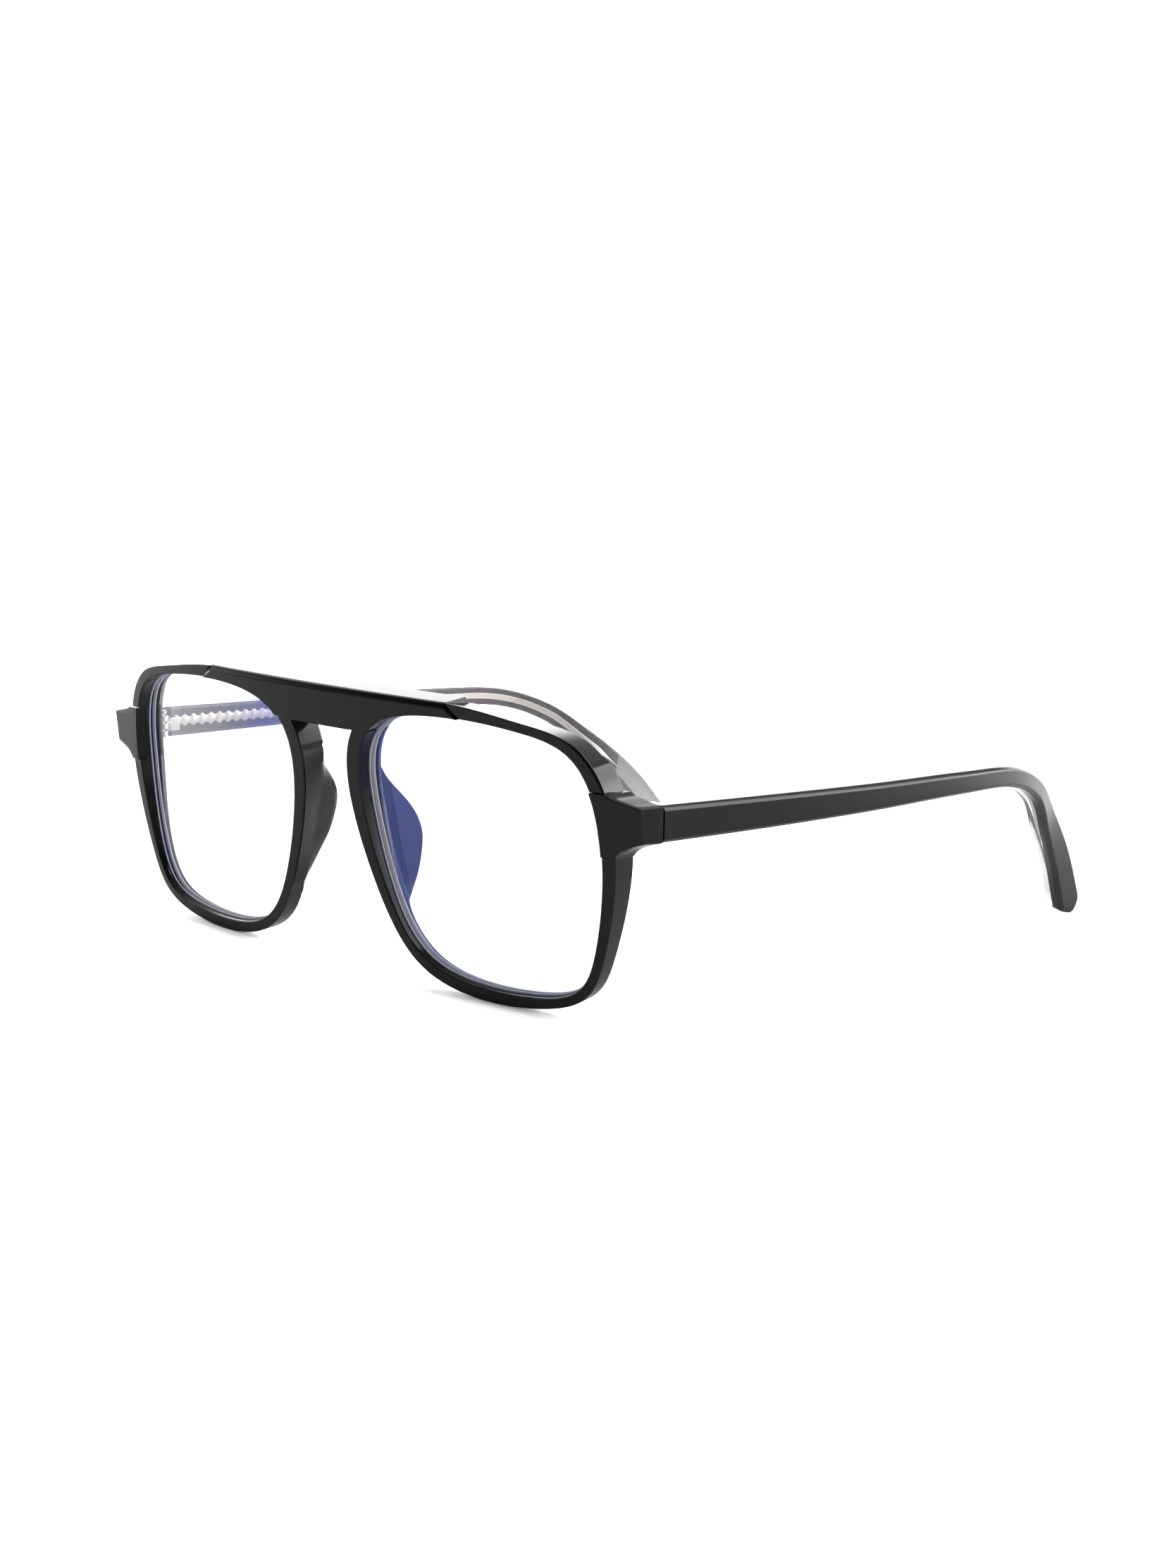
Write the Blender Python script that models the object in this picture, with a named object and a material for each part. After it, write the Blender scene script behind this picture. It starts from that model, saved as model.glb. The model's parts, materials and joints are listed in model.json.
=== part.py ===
"""Square aviator glasses with folding two-layer temples, modelled in metres with +Z up.

The wearer looks along -Y and the wearer's left is +X. The glasses stand open on Z = 0, on the bottoms
of the rims and the temple tips, and the origin is on the ground under the middle of the whole object.
Lengths below are in millimetres, and MM turns them into metres when a mesh is made.
"""

import math

import bmesh
import bpy
from mathutils import Matrix, Vector

MM = 0.001
GAP = 0.3  # between two pieces that touch on the real object

# Front: a flat shape, tilted back at the bottom and bent to the face
FACE_FORM_RADIUS = 431.0
FRONT_TILT = math.radians(6.9)
FRONT_Y = -63.2  # the front face on the mirror plane, at ground height
RIM_DEPTH_BOTTOM = 3.4
RIM_DEPTH_TOP = 5.2
DEPTH_RISE = (8.0, 32.0)  # the stretch of height over which the rim grows to its full depth
FRONT_HEIGHT = 50.0
RIM_STEPS = 70
RIM_EDGE = 0.35  # chamfer on the rim's edges
NASAL_DRAFT = 1.0  # how far the nasal wall leans away from the nose over the rim's depth

# Control polygons of the smooth closed outlines, as (x, height along the front), from the temple side up
OPENING_POLYGON = [
    (62.3, 23.9), (62.2, 36.0), (57.9, 45.1), (46.7, 46.8), (33.6, 47.8), (17.6, 46.9), (9.5, 41.7),
    (8.4, 31.3), (12.9, 15.9), (19.9, 3.9), (34.0, 1.8), (46.4, 2.3), (56.4, 4.3), (59.7, 11.9),
]
RIM_POLYGON = [
    (65.0, 23.7), (65.0, 37.1), (59.3, 46.9), (47.5, 48.1), (33.2, 50.3), (15.9, 49.6), (6.6, 43.1),
    (5.0, 32.0), (10.9, 14.9), (18.6, 2.4), (33.6, -0.5), (47.2, 0.4), (57.6, 3.1), (61.3, 10.7),
]

# Lens and the groove that holds it
GROOVE_PLACE = 0.56  # centre of the groove, as a part of the rim's depth
GROOVE_DEPTH = 0.9
LENS_THICKNESS = 1.2
LENS_DOME = 1.0

# Brow bar over the bridge
BAR_TOP = 49.95
BAR_FLAT_END = 31.6
BAR_TIP = 33.6
BAR_END_SLOPE = 0.958
BAR_PROUD = 0.4
BAR_DEPTH = 5.0
BAR_CHAMFER = 0.9
NOSE_GAP_HALF = 7.1
NOSE_GAP_TOP = 42.85
NASAL_SEAM_RISE = 0.04  # slope of the seam between the bar and the nasal rim

# End pieces
JOINT_Y = FRONT_Y + 5.6  # the flat rear face that the temple closes against
END_PIECE_PROUD = 0.35
END_PIECE_LAP = 1.5  # how thick the end piece is in front of the rim
END_PIECE_FLARE = 0.6
END_PIECE_WIDEST = 70.5
END_PIECE_SEAMS = (28.5, 38.6)
END_PIECE_OUTLINE = [  # height along the front and outer x
    (28.5, 64.95), (29.2, 65.5), (30.0, 66.6), (30.8, 68.6), (31.3, 70.1), (31.7, 70.5),
    (34.2, 70.5), (36.6, 70.5), (36.95, 70.2), (37.15, 67.0), (37.6, 65.6), (38.1, 64.5), (38.6, 63.9),
]

# Nose pads: height, x of the rear edge, depth of the rear edge
PAD_REAR_EDGE = [
    (12.0, 13.6, 3.9), (14.5, 13.7, 5.4), (17.0, 13.4, 7.2), (20.0, 12.7, 9.0), (23.0, 12.1, 10.1),
    (25.5, 11.2, 10.3), (28.0, 10.1, 9.7), (30.5, 9.1, 8.3), (33.0, 8.5, 6.6), (35.5, 8.4, 4.9),
]
PAD_EDGE_WIDTH = 0.5
PAD_BASE_WIDTH = 1.7

# Hinges
HINGE_X = 65.7
HINGE_Y = FRONT_Y + 8.4
LEAF_Y = FRONT_Y + 6.2  # front of the front leaf, clear of the rim
KNUCKLE_RADIUS = 1.2
KNUCKLE_BORE = 0.75
KNUCKLE_HEIGHT = 1.2
HINGE_BOTTOM = 31.5
PIN_RADIUS = 0.45
SCREW_HEAD_RADIUS = 0.95
SCREW_HEAD_HEIGHT = 0.55

# Temples: x of the outer face, y behind the front's ground line, height of the middle, width of the face
TEMPLE_PATH = [
    (71.1, 5.9, 34.0, 5.9), (72.3, 30.0, 33.6, 5.4), (73.0, 55.0, 33.3, 4.7), (72.8, 78.5, 33.2, 4.0),
    (71.0, 95.4, 32.3, 3.7), (67.8, 107.4, 28.2, 3.8), (64.2, 116.2, 20.6, 4.5), (60.9, 124.6, 12.0, 5.2),
    (58.8, 130.2, 4.3, 5.6), (58.1, 132.2, 0.9, 5.6),
]
TIP_TWIST = 24.0  # degrees that the tip's outer face turns to the front and down
TIP_TWIST_SPAN = (100.0, 126.0)  # lengths along the temple where the twist begins and is full
TEMPLE_STEPS = 4  # stations between two points of the path
SHELL_THICKNESS = 1.7
LINER_THICKNESS = 1.8
LAYER_EDGE = 0.5
WIRE_THICKNESS = 0.75
WIRE_PATTERN_LENGTH = 36.0
WIRE_PATTERN_PITCH = 3.0
WIRE_TAIL = 18.0  # length of the tip that has no wire in it

SIDES = {"left": 1, "right": -1}
REST_TOE_IN = {"left": 0.0, "right": 1.8}  # degrees that a temple stands folded in at rest


# ---------------------------------------------------------------- curves and places


def closed_spline(polygon, count):
    """Points along the closed cubic B-spline of a control polygon."""
    size = len(polygon)
    points = []
    for step in range(count):
        place = step * size / count
        first = int(place)
        t = place - first
        weights = (
            (1 - t) ** 3 / 6,
            (3 * t**3 - 6 * t**2 + 4) / 6,
            (-3 * t**3 + 3 * t**2 + 3 * t + 1) / 6,
            t**3 / 6,
        )
        corners = [polygon[(first + k - 1) % size] for k in range(4)]
        points.append(tuple(sum(w * c[axis] for w, c in zip(weights, corners)) for axis in range(2)))
    return points


def open_spline(rows, steps):
    """Rows along a Catmull-Rom curve through the given rows, with steps stations between two of them."""
    stations = []
    for index in range(len(rows) - 1):
        before = rows[max(index - 1, 0)]
        here = rows[index]
        ahead = rows[index + 1]
        after = rows[min(index + 2, len(rows) - 1)]
        for step in range(steps):
            t = step / steps
            stations.append(tuple(
                0.5 * (2 * h + (a - b) * t + (2 * b - 5 * h + 4 * a - c) * t**2 + (3 * h - b - 3 * a + c) * t**3)
                for b, h, a, c in zip(before, here, ahead, after)
            ))
    stations.append(tuple(rows[-1]))
    return stations


def between(rows, key):
    """The other columns of a table of rows at a value of its first column, by straight lines."""
    rows = sorted(rows)
    key = min(max(key, rows[0][0]), rows[-1][0])
    for low, high in zip(rows, rows[1:]):
        if key <= high[0]:
            part = (key - low[0]) / (high[0] - low[0])
            return tuple(a + (b - a) * part for a, b in zip(low[1:], high[1:]))
    return rows[-1][1:]


def smooth_step(low, high, value):
    part = min(max((value - low) / (high - low), 0.0), 1.0)
    return part * part * (3 - 2 * part)


GROUND = min(v for _, v in closed_spline(RIM_POLYGON, 8 * RIM_STEPS))
OPENING = [(x, v - GROUND) for x, v in closed_spline(OPENING_POLYGON, RIM_STEPS)]
RIM_OUTLINE = [(x, v - GROUND) for x, v in closed_spline(RIM_POLYGON, RIM_STEPS)]


def on_front(side, x, v, depth):
    """The place of a point of the front: x outwards, v up the tilted face, depth behind it."""
    swing = math.asin(x / FACE_FORM_RADIUS)
    face = Vector((x, FRONT_Y + x * x / (2 * FACE_FORM_RADIUS) - v * math.sin(FRONT_TILT), v * math.cos(FRONT_TILT)))
    back = Vector((-math.sin(swing), math.cos(swing) * math.cos(FRONT_TILT), math.cos(swing) * math.sin(FRONT_TILT)))
    place = face + back * depth
    return Vector((side * place.x, place.y, place.z)) * MM


def rim_depth(v):
    return RIM_DEPTH_BOTTOM + (RIM_DEPTH_TOP - RIM_DEPTH_BOTTOM) * smooth_step(*DEPTH_RISE, v)


def groove_centre(v):
    return GROOVE_PLACE * rim_depth(v)


# ---------------------------------------------------------------- meshes


def loft(name, sections, round_trip=False):
    """A closed solid through sections of equal length. A round trip joins the last to the first."""
    mesh_data = bmesh.new()
    rings = [[mesh_data.verts.new(point) for point in section] for section in sections]
    pairs = list(zip(rings, rings[1:]))
    if round_trip:
        pairs.append((rings[-1], rings[0]))
    for one, two in pairs:
        for index in range(len(one)):
            after = (index + 1) % len(one)
            mesh_data.faces.new((one[index], one[after], two[after], two[index]))
    if not round_trip:
        mesh_data.faces.new(rings[0])
        mesh_data.faces.new(rings[-1])
    bmesh.ops.recalc_face_normals(mesh_data, faces=mesh_data.faces)
    return place_mesh(name, mesh_data)


def place_mesh(name, mesh_data):
    mesh = bpy.data.meshes.new(name)
    mesh_data.to_mesh(mesh)
    mesh_data.free()
    piece = bpy.data.objects.new(name, mesh)
    bpy.context.scene.collection.objects.link(piece)
    return piece


def cutter(piece):
    piece.hide_render = True
    piece.display_type = "WIRE"
    return piece


def boolean(piece, other, operation="DIFFERENCE"):
    """Cuts or joins with another mesh, and keeps the result in the piece's own mesh."""
    modifier = piece.modifiers.new(operation.title(), "BOOLEAN")
    modifier.operation = operation
    modifier.object = other
    modifier.solver = "EXACT"
    graph = bpy.context.evaluated_depsgraph_get()
    result = bpy.data.meshes.new_from_object(piece.evaluated_get(graph))
    piece.modifiers.clear()
    piece.data = result
    bpy.data.objects.remove(other)


def box(name, low, high):
    """A box between two corners in millimetres."""
    mesh_data = bmesh.new()
    bmesh.ops.create_cube(mesh_data, size=1.0)
    size = [(b - a) * MM for a, b in zip(low, high)]
    middle = [(a + b) / 2 * MM for a, b in zip(low, high)]
    bmesh.ops.scale(mesh_data, vec=size, verts=mesh_data.verts)
    bmesh.ops.translate(mesh_data, vec=middle, verts=mesh_data.verts)
    return place_mesh(name, mesh_data)


def post(name, x, y, low, high, radius, sides=20):
    """An upright cylinder, with its place in millimetres."""
    mesh_data = bmesh.new()
    place = Matrix.Translation(Vector((x, y, (low + high) / 2)) * MM)
    bmesh.ops.create_cone(
        mesh_data, cap_ends=True, segments=sides, radius1=radius * MM, radius2=radius * MM,
        depth=(high - low) * MM, matrix=place,
    )
    return place_mesh(name, mesh_data)


def material(name, color, roughness, metallic=0.0, alpha=1.0):
    paint = bpy.data.materials.new(name)
    paint.use_nodes = True
    shader = paint.node_tree.nodes["Principled BSDF"]
    shader.inputs["Base Color"].default_value = (*color, 1.0)
    shader.inputs["Roughness"].default_value = roughness
    shader.inputs["Metallic"].default_value = metallic
    shader.inputs["Alpha"].default_value = alpha
    return paint


def finish(piece, paint, smooth_angle=35.0):
    piece.data.materials.clear()
    piece.data.materials.append(paint)
    piece.data.shade_smooth()
    piece.data.set_sharp_from_angle(angle=math.radians(smooth_angle))
    return piece


# ---------------------------------------------------------------- front


def rim_section(side, inner, outer):
    """The rim's cross-section between a point of the opening and the point of the outline beside it."""
    reach = Vector(outer) - Vector(inner)
    width = reach.length
    away = reach.normalized()
    v = (inner[1] + outer[1]) / 2
    depth = rim_depth(v)
    groove = groove_centre(v)
    half_groove = LENS_THICKNESS / 2 + GAP
    nasal = smooth_step(17.0, 13.0, outer[0]) * smooth_step(8.0, 14.0, v) * smooth_step(43.0, 38.0, v)
    rear_width = width - NASAL_DRAFT * nasal
    profile = [
        (RIM_EDGE, 0.0), (0.0, RIM_EDGE), (0.0, groove - half_groove), (GROOVE_DEPTH, groove - half_groove),
        (GROOVE_DEPTH, groove + half_groove), (0.0, groove + half_groove), (0.0, depth - RIM_EDGE),
        (RIM_EDGE, depth), (rear_width - RIM_EDGE, depth), (rear_width, depth - RIM_EDGE),
        (width, RIM_EDGE), (width - RIM_EDGE, 0.0),
    ]
    return [on_front(side, inner[0] + away.x * out, inner[1] + away.y * out, back) for out, back in profile]


def grown(outline, amount):
    """The outline moved outwards by an amount, along its own normals."""
    count = len(outline)
    points = []
    for index in range(count):
        before = Vector(outline[index - 1])
        after = Vector(outline[(index + 1) % count])
        along = (after - before).normalized()
        here = Vector(outline[index])
        points.append((here.x + along.y * amount, here.y - along.x * amount))
    return points


def front_prism(name, side, stations, low_depth, high_depth):
    """A solid with upright edges: stations of x, lowest and highest v, between two depths."""
    sections = []
    for x, low, high in stations:
        sections.append([
            on_front(side, x, low, low_depth), on_front(side, x, high, low_depth),
            on_front(side, x, high, high_depth), on_front(side, x, low, high_depth),
        ])
    return loft(name, sections)


def seam_height(x):
    """The line where the brow bar meets the nasal part of the rim."""
    return NOSE_GAP_TOP + NASAL_SEAM_RISE * (x - NOSE_GAP_HALF)


def bar_end_height(x):
    """The slanted end of the brow bar."""
    return BAR_TOP - BAR_END_SLOPE * (x - BAR_FLAT_END)


def bar_space(side):
    """What the rim leaves free for the brow bar: everything inside its end line and above its seam."""
    stations = []
    for x in (3.0, 6.0, 9.0, 12.0, 15.0, 16.5, 20.0, 24.0, 28.0, 31.0, 33.0, 34.9):
        inside = NOSE_GAP_TOP + 0.21 * (x - 16.5)
        low = seam_height(x) - GAP if x <= 16.5 else inside
        high = min(FRONT_HEIGHT + 6.0, bar_end_height(x) + GAP * 1.4)
        stations.append((x, low, high))
    return cutter(front_prism("bar_space", side, stations, -4.0, 12.0))


def end_piece_space(side):
    """The step in the rim's face that the end piece lies in."""
    low = END_PIECE_SEAMS[0] - GAP
    high = END_PIECE_SEAMS[1] + GAP
    stations = [(x, low, high) for x in (56.0, 59.0, 62.0, 65.0, 68.0, 72.0)]
    return cutter(front_prism("end_piece_space", side, stations, -4.0, END_PIECE_LAP + GAP))


def make_rim(side, name, paint):
    sections = [rim_section(side, inner, outer) for inner, outer in zip(OPENING, RIM_OUTLINE)]
    rim = loft(name, sections, round_trip=True)
    boolean(rim, bar_space(side))
    boolean(rim, end_piece_space(side))
    return finish(rim, paint)


def groove_ring(side):
    """The lens groove as a solid, to cut it into pieces that the opening passes through."""
    sections = []
    half = LENS_THICKNESS / 2 + GAP
    for inner, outer in zip(grown(OPENING, -6.0), grown(OPENING, GROOVE_DEPTH)):
        centre = groove_centre(outer[1])
        sections.append([
            on_front(side, *inner, centre - half), on_front(side, *outer, centre - half),
            on_front(side, *outer, centre + half), on_front(side, *inner, centre + half),
        ])
    return cutter(loft("groove_ring", sections, round_trip=True))


def opening_top(x):
    """Height of the upper edge of the lens opening at x."""
    upper = [point for point in OPENING if point[1] > 30.0 and 11.0 < point[0] < 50.0]
    return between(upper, x)[0]


def bar_bottom(x):
    if x <= NOSE_GAP_HALF:
        return NOSE_GAP_TOP
    return max(seam_height(x), opening_top(x)) if x > 12.0 else seam_height(x)


def make_brow_bar(name, paint):
    half = [5.6, NOSE_GAP_HALF, 9.0, 11.0, 12.5, 13.3, 14.0, 15.0, 16.5, 18.5, 21.0, 24.0, 27.0, 29.5,
            BAR_FLAT_END, 32.6, BAR_TIP]
    stations = [(-1, x) for x in reversed(half)] + [(1, x) for x in half]
    sections = []
    for side, x in stations:
        low = bar_bottom(x)
        high = min(BAR_TOP, bar_end_height(x))
        chamfer = min(BAR_CHAMFER, 0.4 * (high - low))
        edge = min(RIM_EDGE, 0.3 * (high - low))
        outline = [
            (low, edge - BAR_PROUD), (low + edge, -BAR_PROUD), (high - chamfer, -BAR_PROUD),
            (high, 0.7 * chamfer - BAR_PROUD), (high, BAR_DEPTH - edge), (high - edge, BAR_DEPTH),
            (low + edge, BAR_DEPTH), (low, BAR_DEPTH - edge),
        ]
        sections.append([on_front(side, x, v, depth) for v, depth in outline])
    bar = loft(name, sections)
    for side in SIDES.values():
        boolean(bar, groove_ring(side))
    return finish(bar, paint, 20.0)


def opening_side(v):
    """x of the temple-side edge of the lens opening at a height."""
    outer_edge = [(point[1], point[0]) for point in OPENING if point[0] > 56.0 and 12.0 < point[1] < 43.0]
    return between(outer_edge, v)[0]


def rim_envelope(side):
    """Everything behind the rim's step, grown by the gap, so the end piece fits round the rim."""
    sections = []
    for inner, outer in zip(grown(OPENING, -2.0), grown(RIM_OUTLINE, GAP)):
        sections.append([
            on_front(side, *inner, END_PIECE_LAP), on_front(side, *outer, END_PIECE_LAP),
            on_front(side, *outer, 14.0), on_front(side, *inner, 14.0),
        ])
    return cutter(loft("rim_envelope", sections, round_trip=True))


def make_end_piece(side, name, paint):
    sections = []
    for v, x_outer in END_PIECE_OUTLINE:
        x_inner = opening_side(v) + 0.1
        rim_edge = END_PIECE_OUTLINE[0][1]
        flare = END_PIECE_FLARE * max(x_outer - rim_edge, 0.0) / (END_PIECE_WIDEST - rim_edge)
        height = v * math.cos(FRONT_TILT)
        sections.append([
            on_front(side, x_inner, v, -END_PIECE_PROUD), on_front(side, x_outer - 0.9, v, -END_PIECE_PROUD),
            on_front(side, x_outer - 0.25, v, 0.1 - END_PIECE_PROUD + 0.2),
            on_front(side, x_outer, v, 1.0 - END_PIECE_PROUD),
            Vector((side * (x_outer + flare), JOINT_Y, height)) * MM, Vector((side * x_inner, JOINT_Y, height)) * MM,
        ])
    piece = loft(name, sections)
    boolean(piece, rim_envelope(side))
    return finish(piece, paint)


def make_lens(side, name, paint):
    """A domed disc whose edge stands in the groove with the gap all round."""
    edge = grown(OPENING, GROOVE_DEPTH - GAP)
    middle_x = sum(x for x, _ in edge) / len(edge)
    middle_v = sum(v for _, v in edge) / len(edge)
    fractions = (0.12, 0.35, 0.58, 0.8, 1.0)
    faces = []
    for lift in (-1, 1):
        order = fractions if lift < 0 else tuple(reversed(fractions))
        for part in order:
            ring = []
            for x, v in edge:
                x_here = middle_x + (x - middle_x) * part
                v_here = middle_v + (v - middle_v) * part
                depth = groove_centre(v_here) - LENS_DOME * (1 - part**2) + lift * LENS_THICKNESS / 2
                ring.append(on_front(side, x_here, v_here, depth))
            faces.append(ring)
    return finish(loft(name, faces), paint, 50.0)


def make_nose_pad(side, name, paint):
    """A wing behind the nasal part of the rim, which leans away from the nose towards its rear edge."""
    sections = []
    for v, x_rear, depth_rear in open_spline(PAD_REAR_EDGE, 2):
        base = rim_depth(v) + GAP
        rear = max(depth_rear, base + 0.5)
        nasal = [point for point in RIM_OUTLINE if point[0] < 20.0]
        x_rim = between([(point[1], point[0]) for point in nasal], v)[0] + NASAL_DRAFT + 0.1
        sections.append([
            on_front(side, x_rim, v, base), on_front(side, (x_rim + x_rear) / 2 - 0.2, v, (base + rear) / 2),
            on_front(side, x_rear - 0.2, v, rear - 0.3), on_front(side, x_rear + 0.1, v, rear),
            on_front(side, x_rear + PAD_EDGE_WIDTH, v, rear - 0.2),
            on_front(side, x_rim + PAD_BASE_WIDTH, v, base),
        ])
    return finish(loft(name, sections), paint, 50.0)


# ---------------------------------------------------------------- hinges


def knuckle(name, side, low):
    return post(name, side * HINGE_X, HINGE_Y, low, low + KNUCKLE_HEIGHT, KNUCKLE_RADIUS)


def ream(piece, side):
    """Opens the bore for the screw through every knuckle of a hinge half."""
    boolean(piece, post("bore", side * HINGE_X, HINGE_Y, 25.0, 45.0, KNUCKLE_BORE))


def across(side, x_low, x_high, y_low, y_high, z_low, z_high, name):
    """A box given for the left side, mirrored for the right one."""
    xs = sorted((side * x_low, side * x_high))
    return box(name, (xs[0], y_low, z_low), (xs[1], y_high, z_high))


def make_front_hinge(side, name, paint):
    """A leaf on the end piece's rear face, with a lower and an upper knuckle."""
    step = KNUCKLE_HEIGHT + GAP
    top = HINGE_BOTTOM + 2 * step + KNUCKLE_HEIGHT
    leaf = across(side, 63.6, 66.9, LEAF_Y, HINGE_Y - KNUCKLE_RADIUS - GAP, HINGE_BOTTOM, top, name)
    for index in (0, 2):
        low = HINGE_BOTTOM + index * step
        web = across(side, 64.7, 66.7, LEAF_Y + 0.1, HINGE_Y - 0.5, low, low + KNUCKLE_HEIGHT, "web")
        boolean(leaf, web, "UNION")
        boolean(leaf, knuckle("knuckle", side, low), "UNION")
    ream(leaf, side)
    return finish(leaf, paint)


def make_temple_hinge(side, name, paint):
    """A leaf along the temple's inner face, with the middle knuckle."""
    low = HINGE_BOTTOM + KNUCKLE_HEIGHT + GAP
    leaf = across(side, 66.35, 66.95, HINGE_Y + 1.7, HINGE_Y + 8.0, low - 1.1, low + KNUCKLE_HEIGHT + 1.1, name)
    neck = across(side, 66.0, 66.9, HINGE_Y, HINGE_Y + 2.4, low, low + KNUCKLE_HEIGHT, "neck")
    boolean(leaf, neck, "UNION")
    boolean(leaf, knuckle("knuckle", side, low), "UNION")
    ream(leaf, side)
    return finish(leaf, paint)


def make_hinge_screw(side, name, paint):
    """A cheese-head screw, dropped in from the top and slotted for a driver."""
    top = HINGE_BOTTOM + 3 * KNUCKLE_HEIGHT + 2 * GAP
    x = side * HINGE_X
    screw = post(name, x, HINGE_Y, HINGE_BOTTOM - 0.2, top + GAP + 0.1, PIN_RADIUS, 16)
    head = post("head", x, HINGE_Y, top + GAP, top + GAP + SCREW_HEAD_HEIGHT, SCREW_HEAD_RADIUS)
    boolean(screw, head, "UNION")
    head_top = top + GAP + SCREW_HEAD_HEIGHT
    slot = box("slot", (x - 2.0, HINGE_Y - 0.15, head_top - 0.25), (x + 2.0, HINGE_Y + 0.15, head_top + 1.0))
    boolean(screw, slot)
    return finish(screw, paint)


# ---------------------------------------------------------------- temples


def temple_stations():
    """Places along the outer face: point, outward and upward directions, face width and length so far."""
    rows = open_spline(TEMPLE_PATH, TEMPLE_STEPS)
    points = [Vector((x, FRONT_Y + y, z)) for x, y, z, _ in rows]
    stations = []
    travelled = 0.0
    for index, point in enumerate(points):
        before = points[max(index - 1, 0)]
        after = points[min(index + 1, len(points) - 1)]
        ahead = (after - before).normalized()
        if index == 0:
            ahead = Vector((0.0, 1.0, 0.0))
        outward = ahead.cross(Vector((0.0, 0.0, 1.0)))
        outward.normalize()
        upward = outward.cross(ahead)
        if index:
            travelled += (point - points[index - 1]).length
        twist = math.radians(TIP_TWIST) * smooth_step(*TIP_TWIST_SPAN, travelled)
        turned_out = outward * math.cos(twist) - upward * math.sin(twist)
        turned_up = upward * math.cos(twist) + outward * math.sin(twist)
        stations.append((point, turned_out, turned_up, rows[index][3], travelled))
    return stations


STATIONS = temple_stations()
TEMPLE_LENGTH = STATIONS[-1][4]


def rounded_width(width, travelled):
    """The face width, drawn in over the last stretch so that the tip ends round."""
    left = TEMPLE_LENGTH - travelled
    radius = width / 2
    if left >= radius:
        return width
    return width * max(math.sqrt(1 - (1 - left / radius) ** 2), 0.35)


def temple_layer(side, name, stations, profile):
    """A layer of the temple: the profile gives its section from the face width, inwards and upwards."""
    sections = []
    for point, outward, upward, width, travelled in stations:
        section = []
        for inwards, up in profile(rounded_width(width, travelled), travelled):
            place = point - outward * inwards + upward * up
            section.append(Vector((side * place.x, place.y, place.z)) * MM)
        sections.append(section)
    return loft(name, sections)


def wire_width(travelled):
    """Wide under the hinge with a zigzag edge, then drawn down to a plain wire."""
    if travelled < WIRE_PATTERN_LENGTH:
        phase = travelled / WIRE_PATTERN_PITCH * 2
        return 2.4 if round(phase) % 2 == 0 else 1.8
    return 1.9 - 0.6 * smooth_step(WIRE_PATTERN_LENGTH, WIRE_PATTERN_LENGTH + 25.0, travelled)


def shell_profile(width, _travelled):
    half = width / 2
    edge = min(LAYER_EDGE, 0.35 * half)
    return [
        (0.0, -half + edge), (0.0, half - edge), (edge, half), (SHELL_THICKNESS, half),
        (SHELL_THICKNESS, -half), (edge, -half),
    ]


def liner_profile(width, travelled):
    half = width / 2
    edge = min(LAYER_EDGE, 0.35 * half)
    outer = SHELL_THICKNESS + GAP
    inner = outer + LINER_THICKNESS
    floor = outer + WIRE_THICKNESS + GAP
    has_wire = travelled < TEMPLE_LENGTH - WIRE_TAIL + 2.0
    slot = 0.5 * (wide_slot(travelled) if has_wire else 0.5)
    slot = min(slot, 0.6 * half)
    return [
        (outer, -half), (outer, -slot), (floor, -slot), (floor, slot), (outer, slot), (outer, half),
        (inner - edge, half), (inner, half - edge), (inner, -half + edge), (inner - edge, -half),
    ]


def wide_slot(travelled):
    return 3.1 if travelled < WIRE_PATTERN_LENGTH + 3.0 else 2.6


def wire_stations():
    """Stations that follow the zigzag under the hinge, and the temple's own stations behind it."""
    start = 3.0
    end = TEMPLE_LENGTH - WIRE_TAIL
    places = []
    step = WIRE_PATTERN_PITCH / 2
    while start + len(places) * step < WIRE_PATTERN_LENGTH:
        places.append(start + len(places) * step)
    places += [s[4] for s in STATIONS if WIRE_PATTERN_LENGTH < s[4] < end] + [end]
    stations = []
    for place in places:
        for low, high in zip(STATIONS, STATIONS[1:]):
            if place <= high[4]:
                part = (place - low[4]) / (high[4] - low[4])
                break
        stations.append((
            low[0].lerp(high[0], part), low[1].lerp(high[1], part).normalized(),
            low[2].lerp(high[2], part).normalized(), 0.0, place,
        ))
    return stations


def make_core_wire(side, name, paint):
    outer = SHELL_THICKNESS + GAP
    sections = []
    for point, outward, upward, _, travelled in wire_stations():
        half = wire_width(travelled) / 2
        corners = [(outer, -half), (outer, half), (outer + WIRE_THICKNESS, half), (outer + WIRE_THICKNESS, -half)]
        places = [point - outward * inwards + upward * up for inwards, up in corners]
        sections.append([Vector((side * place.x, place.y, place.z)) * MM for place in places])
    return finish(loft(name, sections), paint)


# ---------------------------------------------------------------- assembly


def clear_scene():
    for item in list(bpy.data.objects):
        bpy.data.objects.remove(item)


def hinge_empty(side_name, side):
    """An empty on the hinge axis, which carries the whole temple."""
    empty = bpy.data.objects.new(f"temple_pivot_{side_name}", None)
    empty.location = Vector((side * HINGE_X, HINGE_Y, HINGE_BOTTOM)) * MM
    bpy.context.scene.collection.objects.link(empty)
    return empty


def toe_in(pivot, side_name, side):
    """Turns a hung temple in a little, as the wearer's habit has bent it."""
    pivot.rotation_euler.z = side * math.radians(REST_TOE_IN[side_name])


def hang_on(pivot, pieces):
    bpy.context.view_layer.update()
    for piece in pieces:
        piece.parent = pivot
        piece.matrix_parent_inverse = pivot.matrix_world.inverted()


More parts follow.
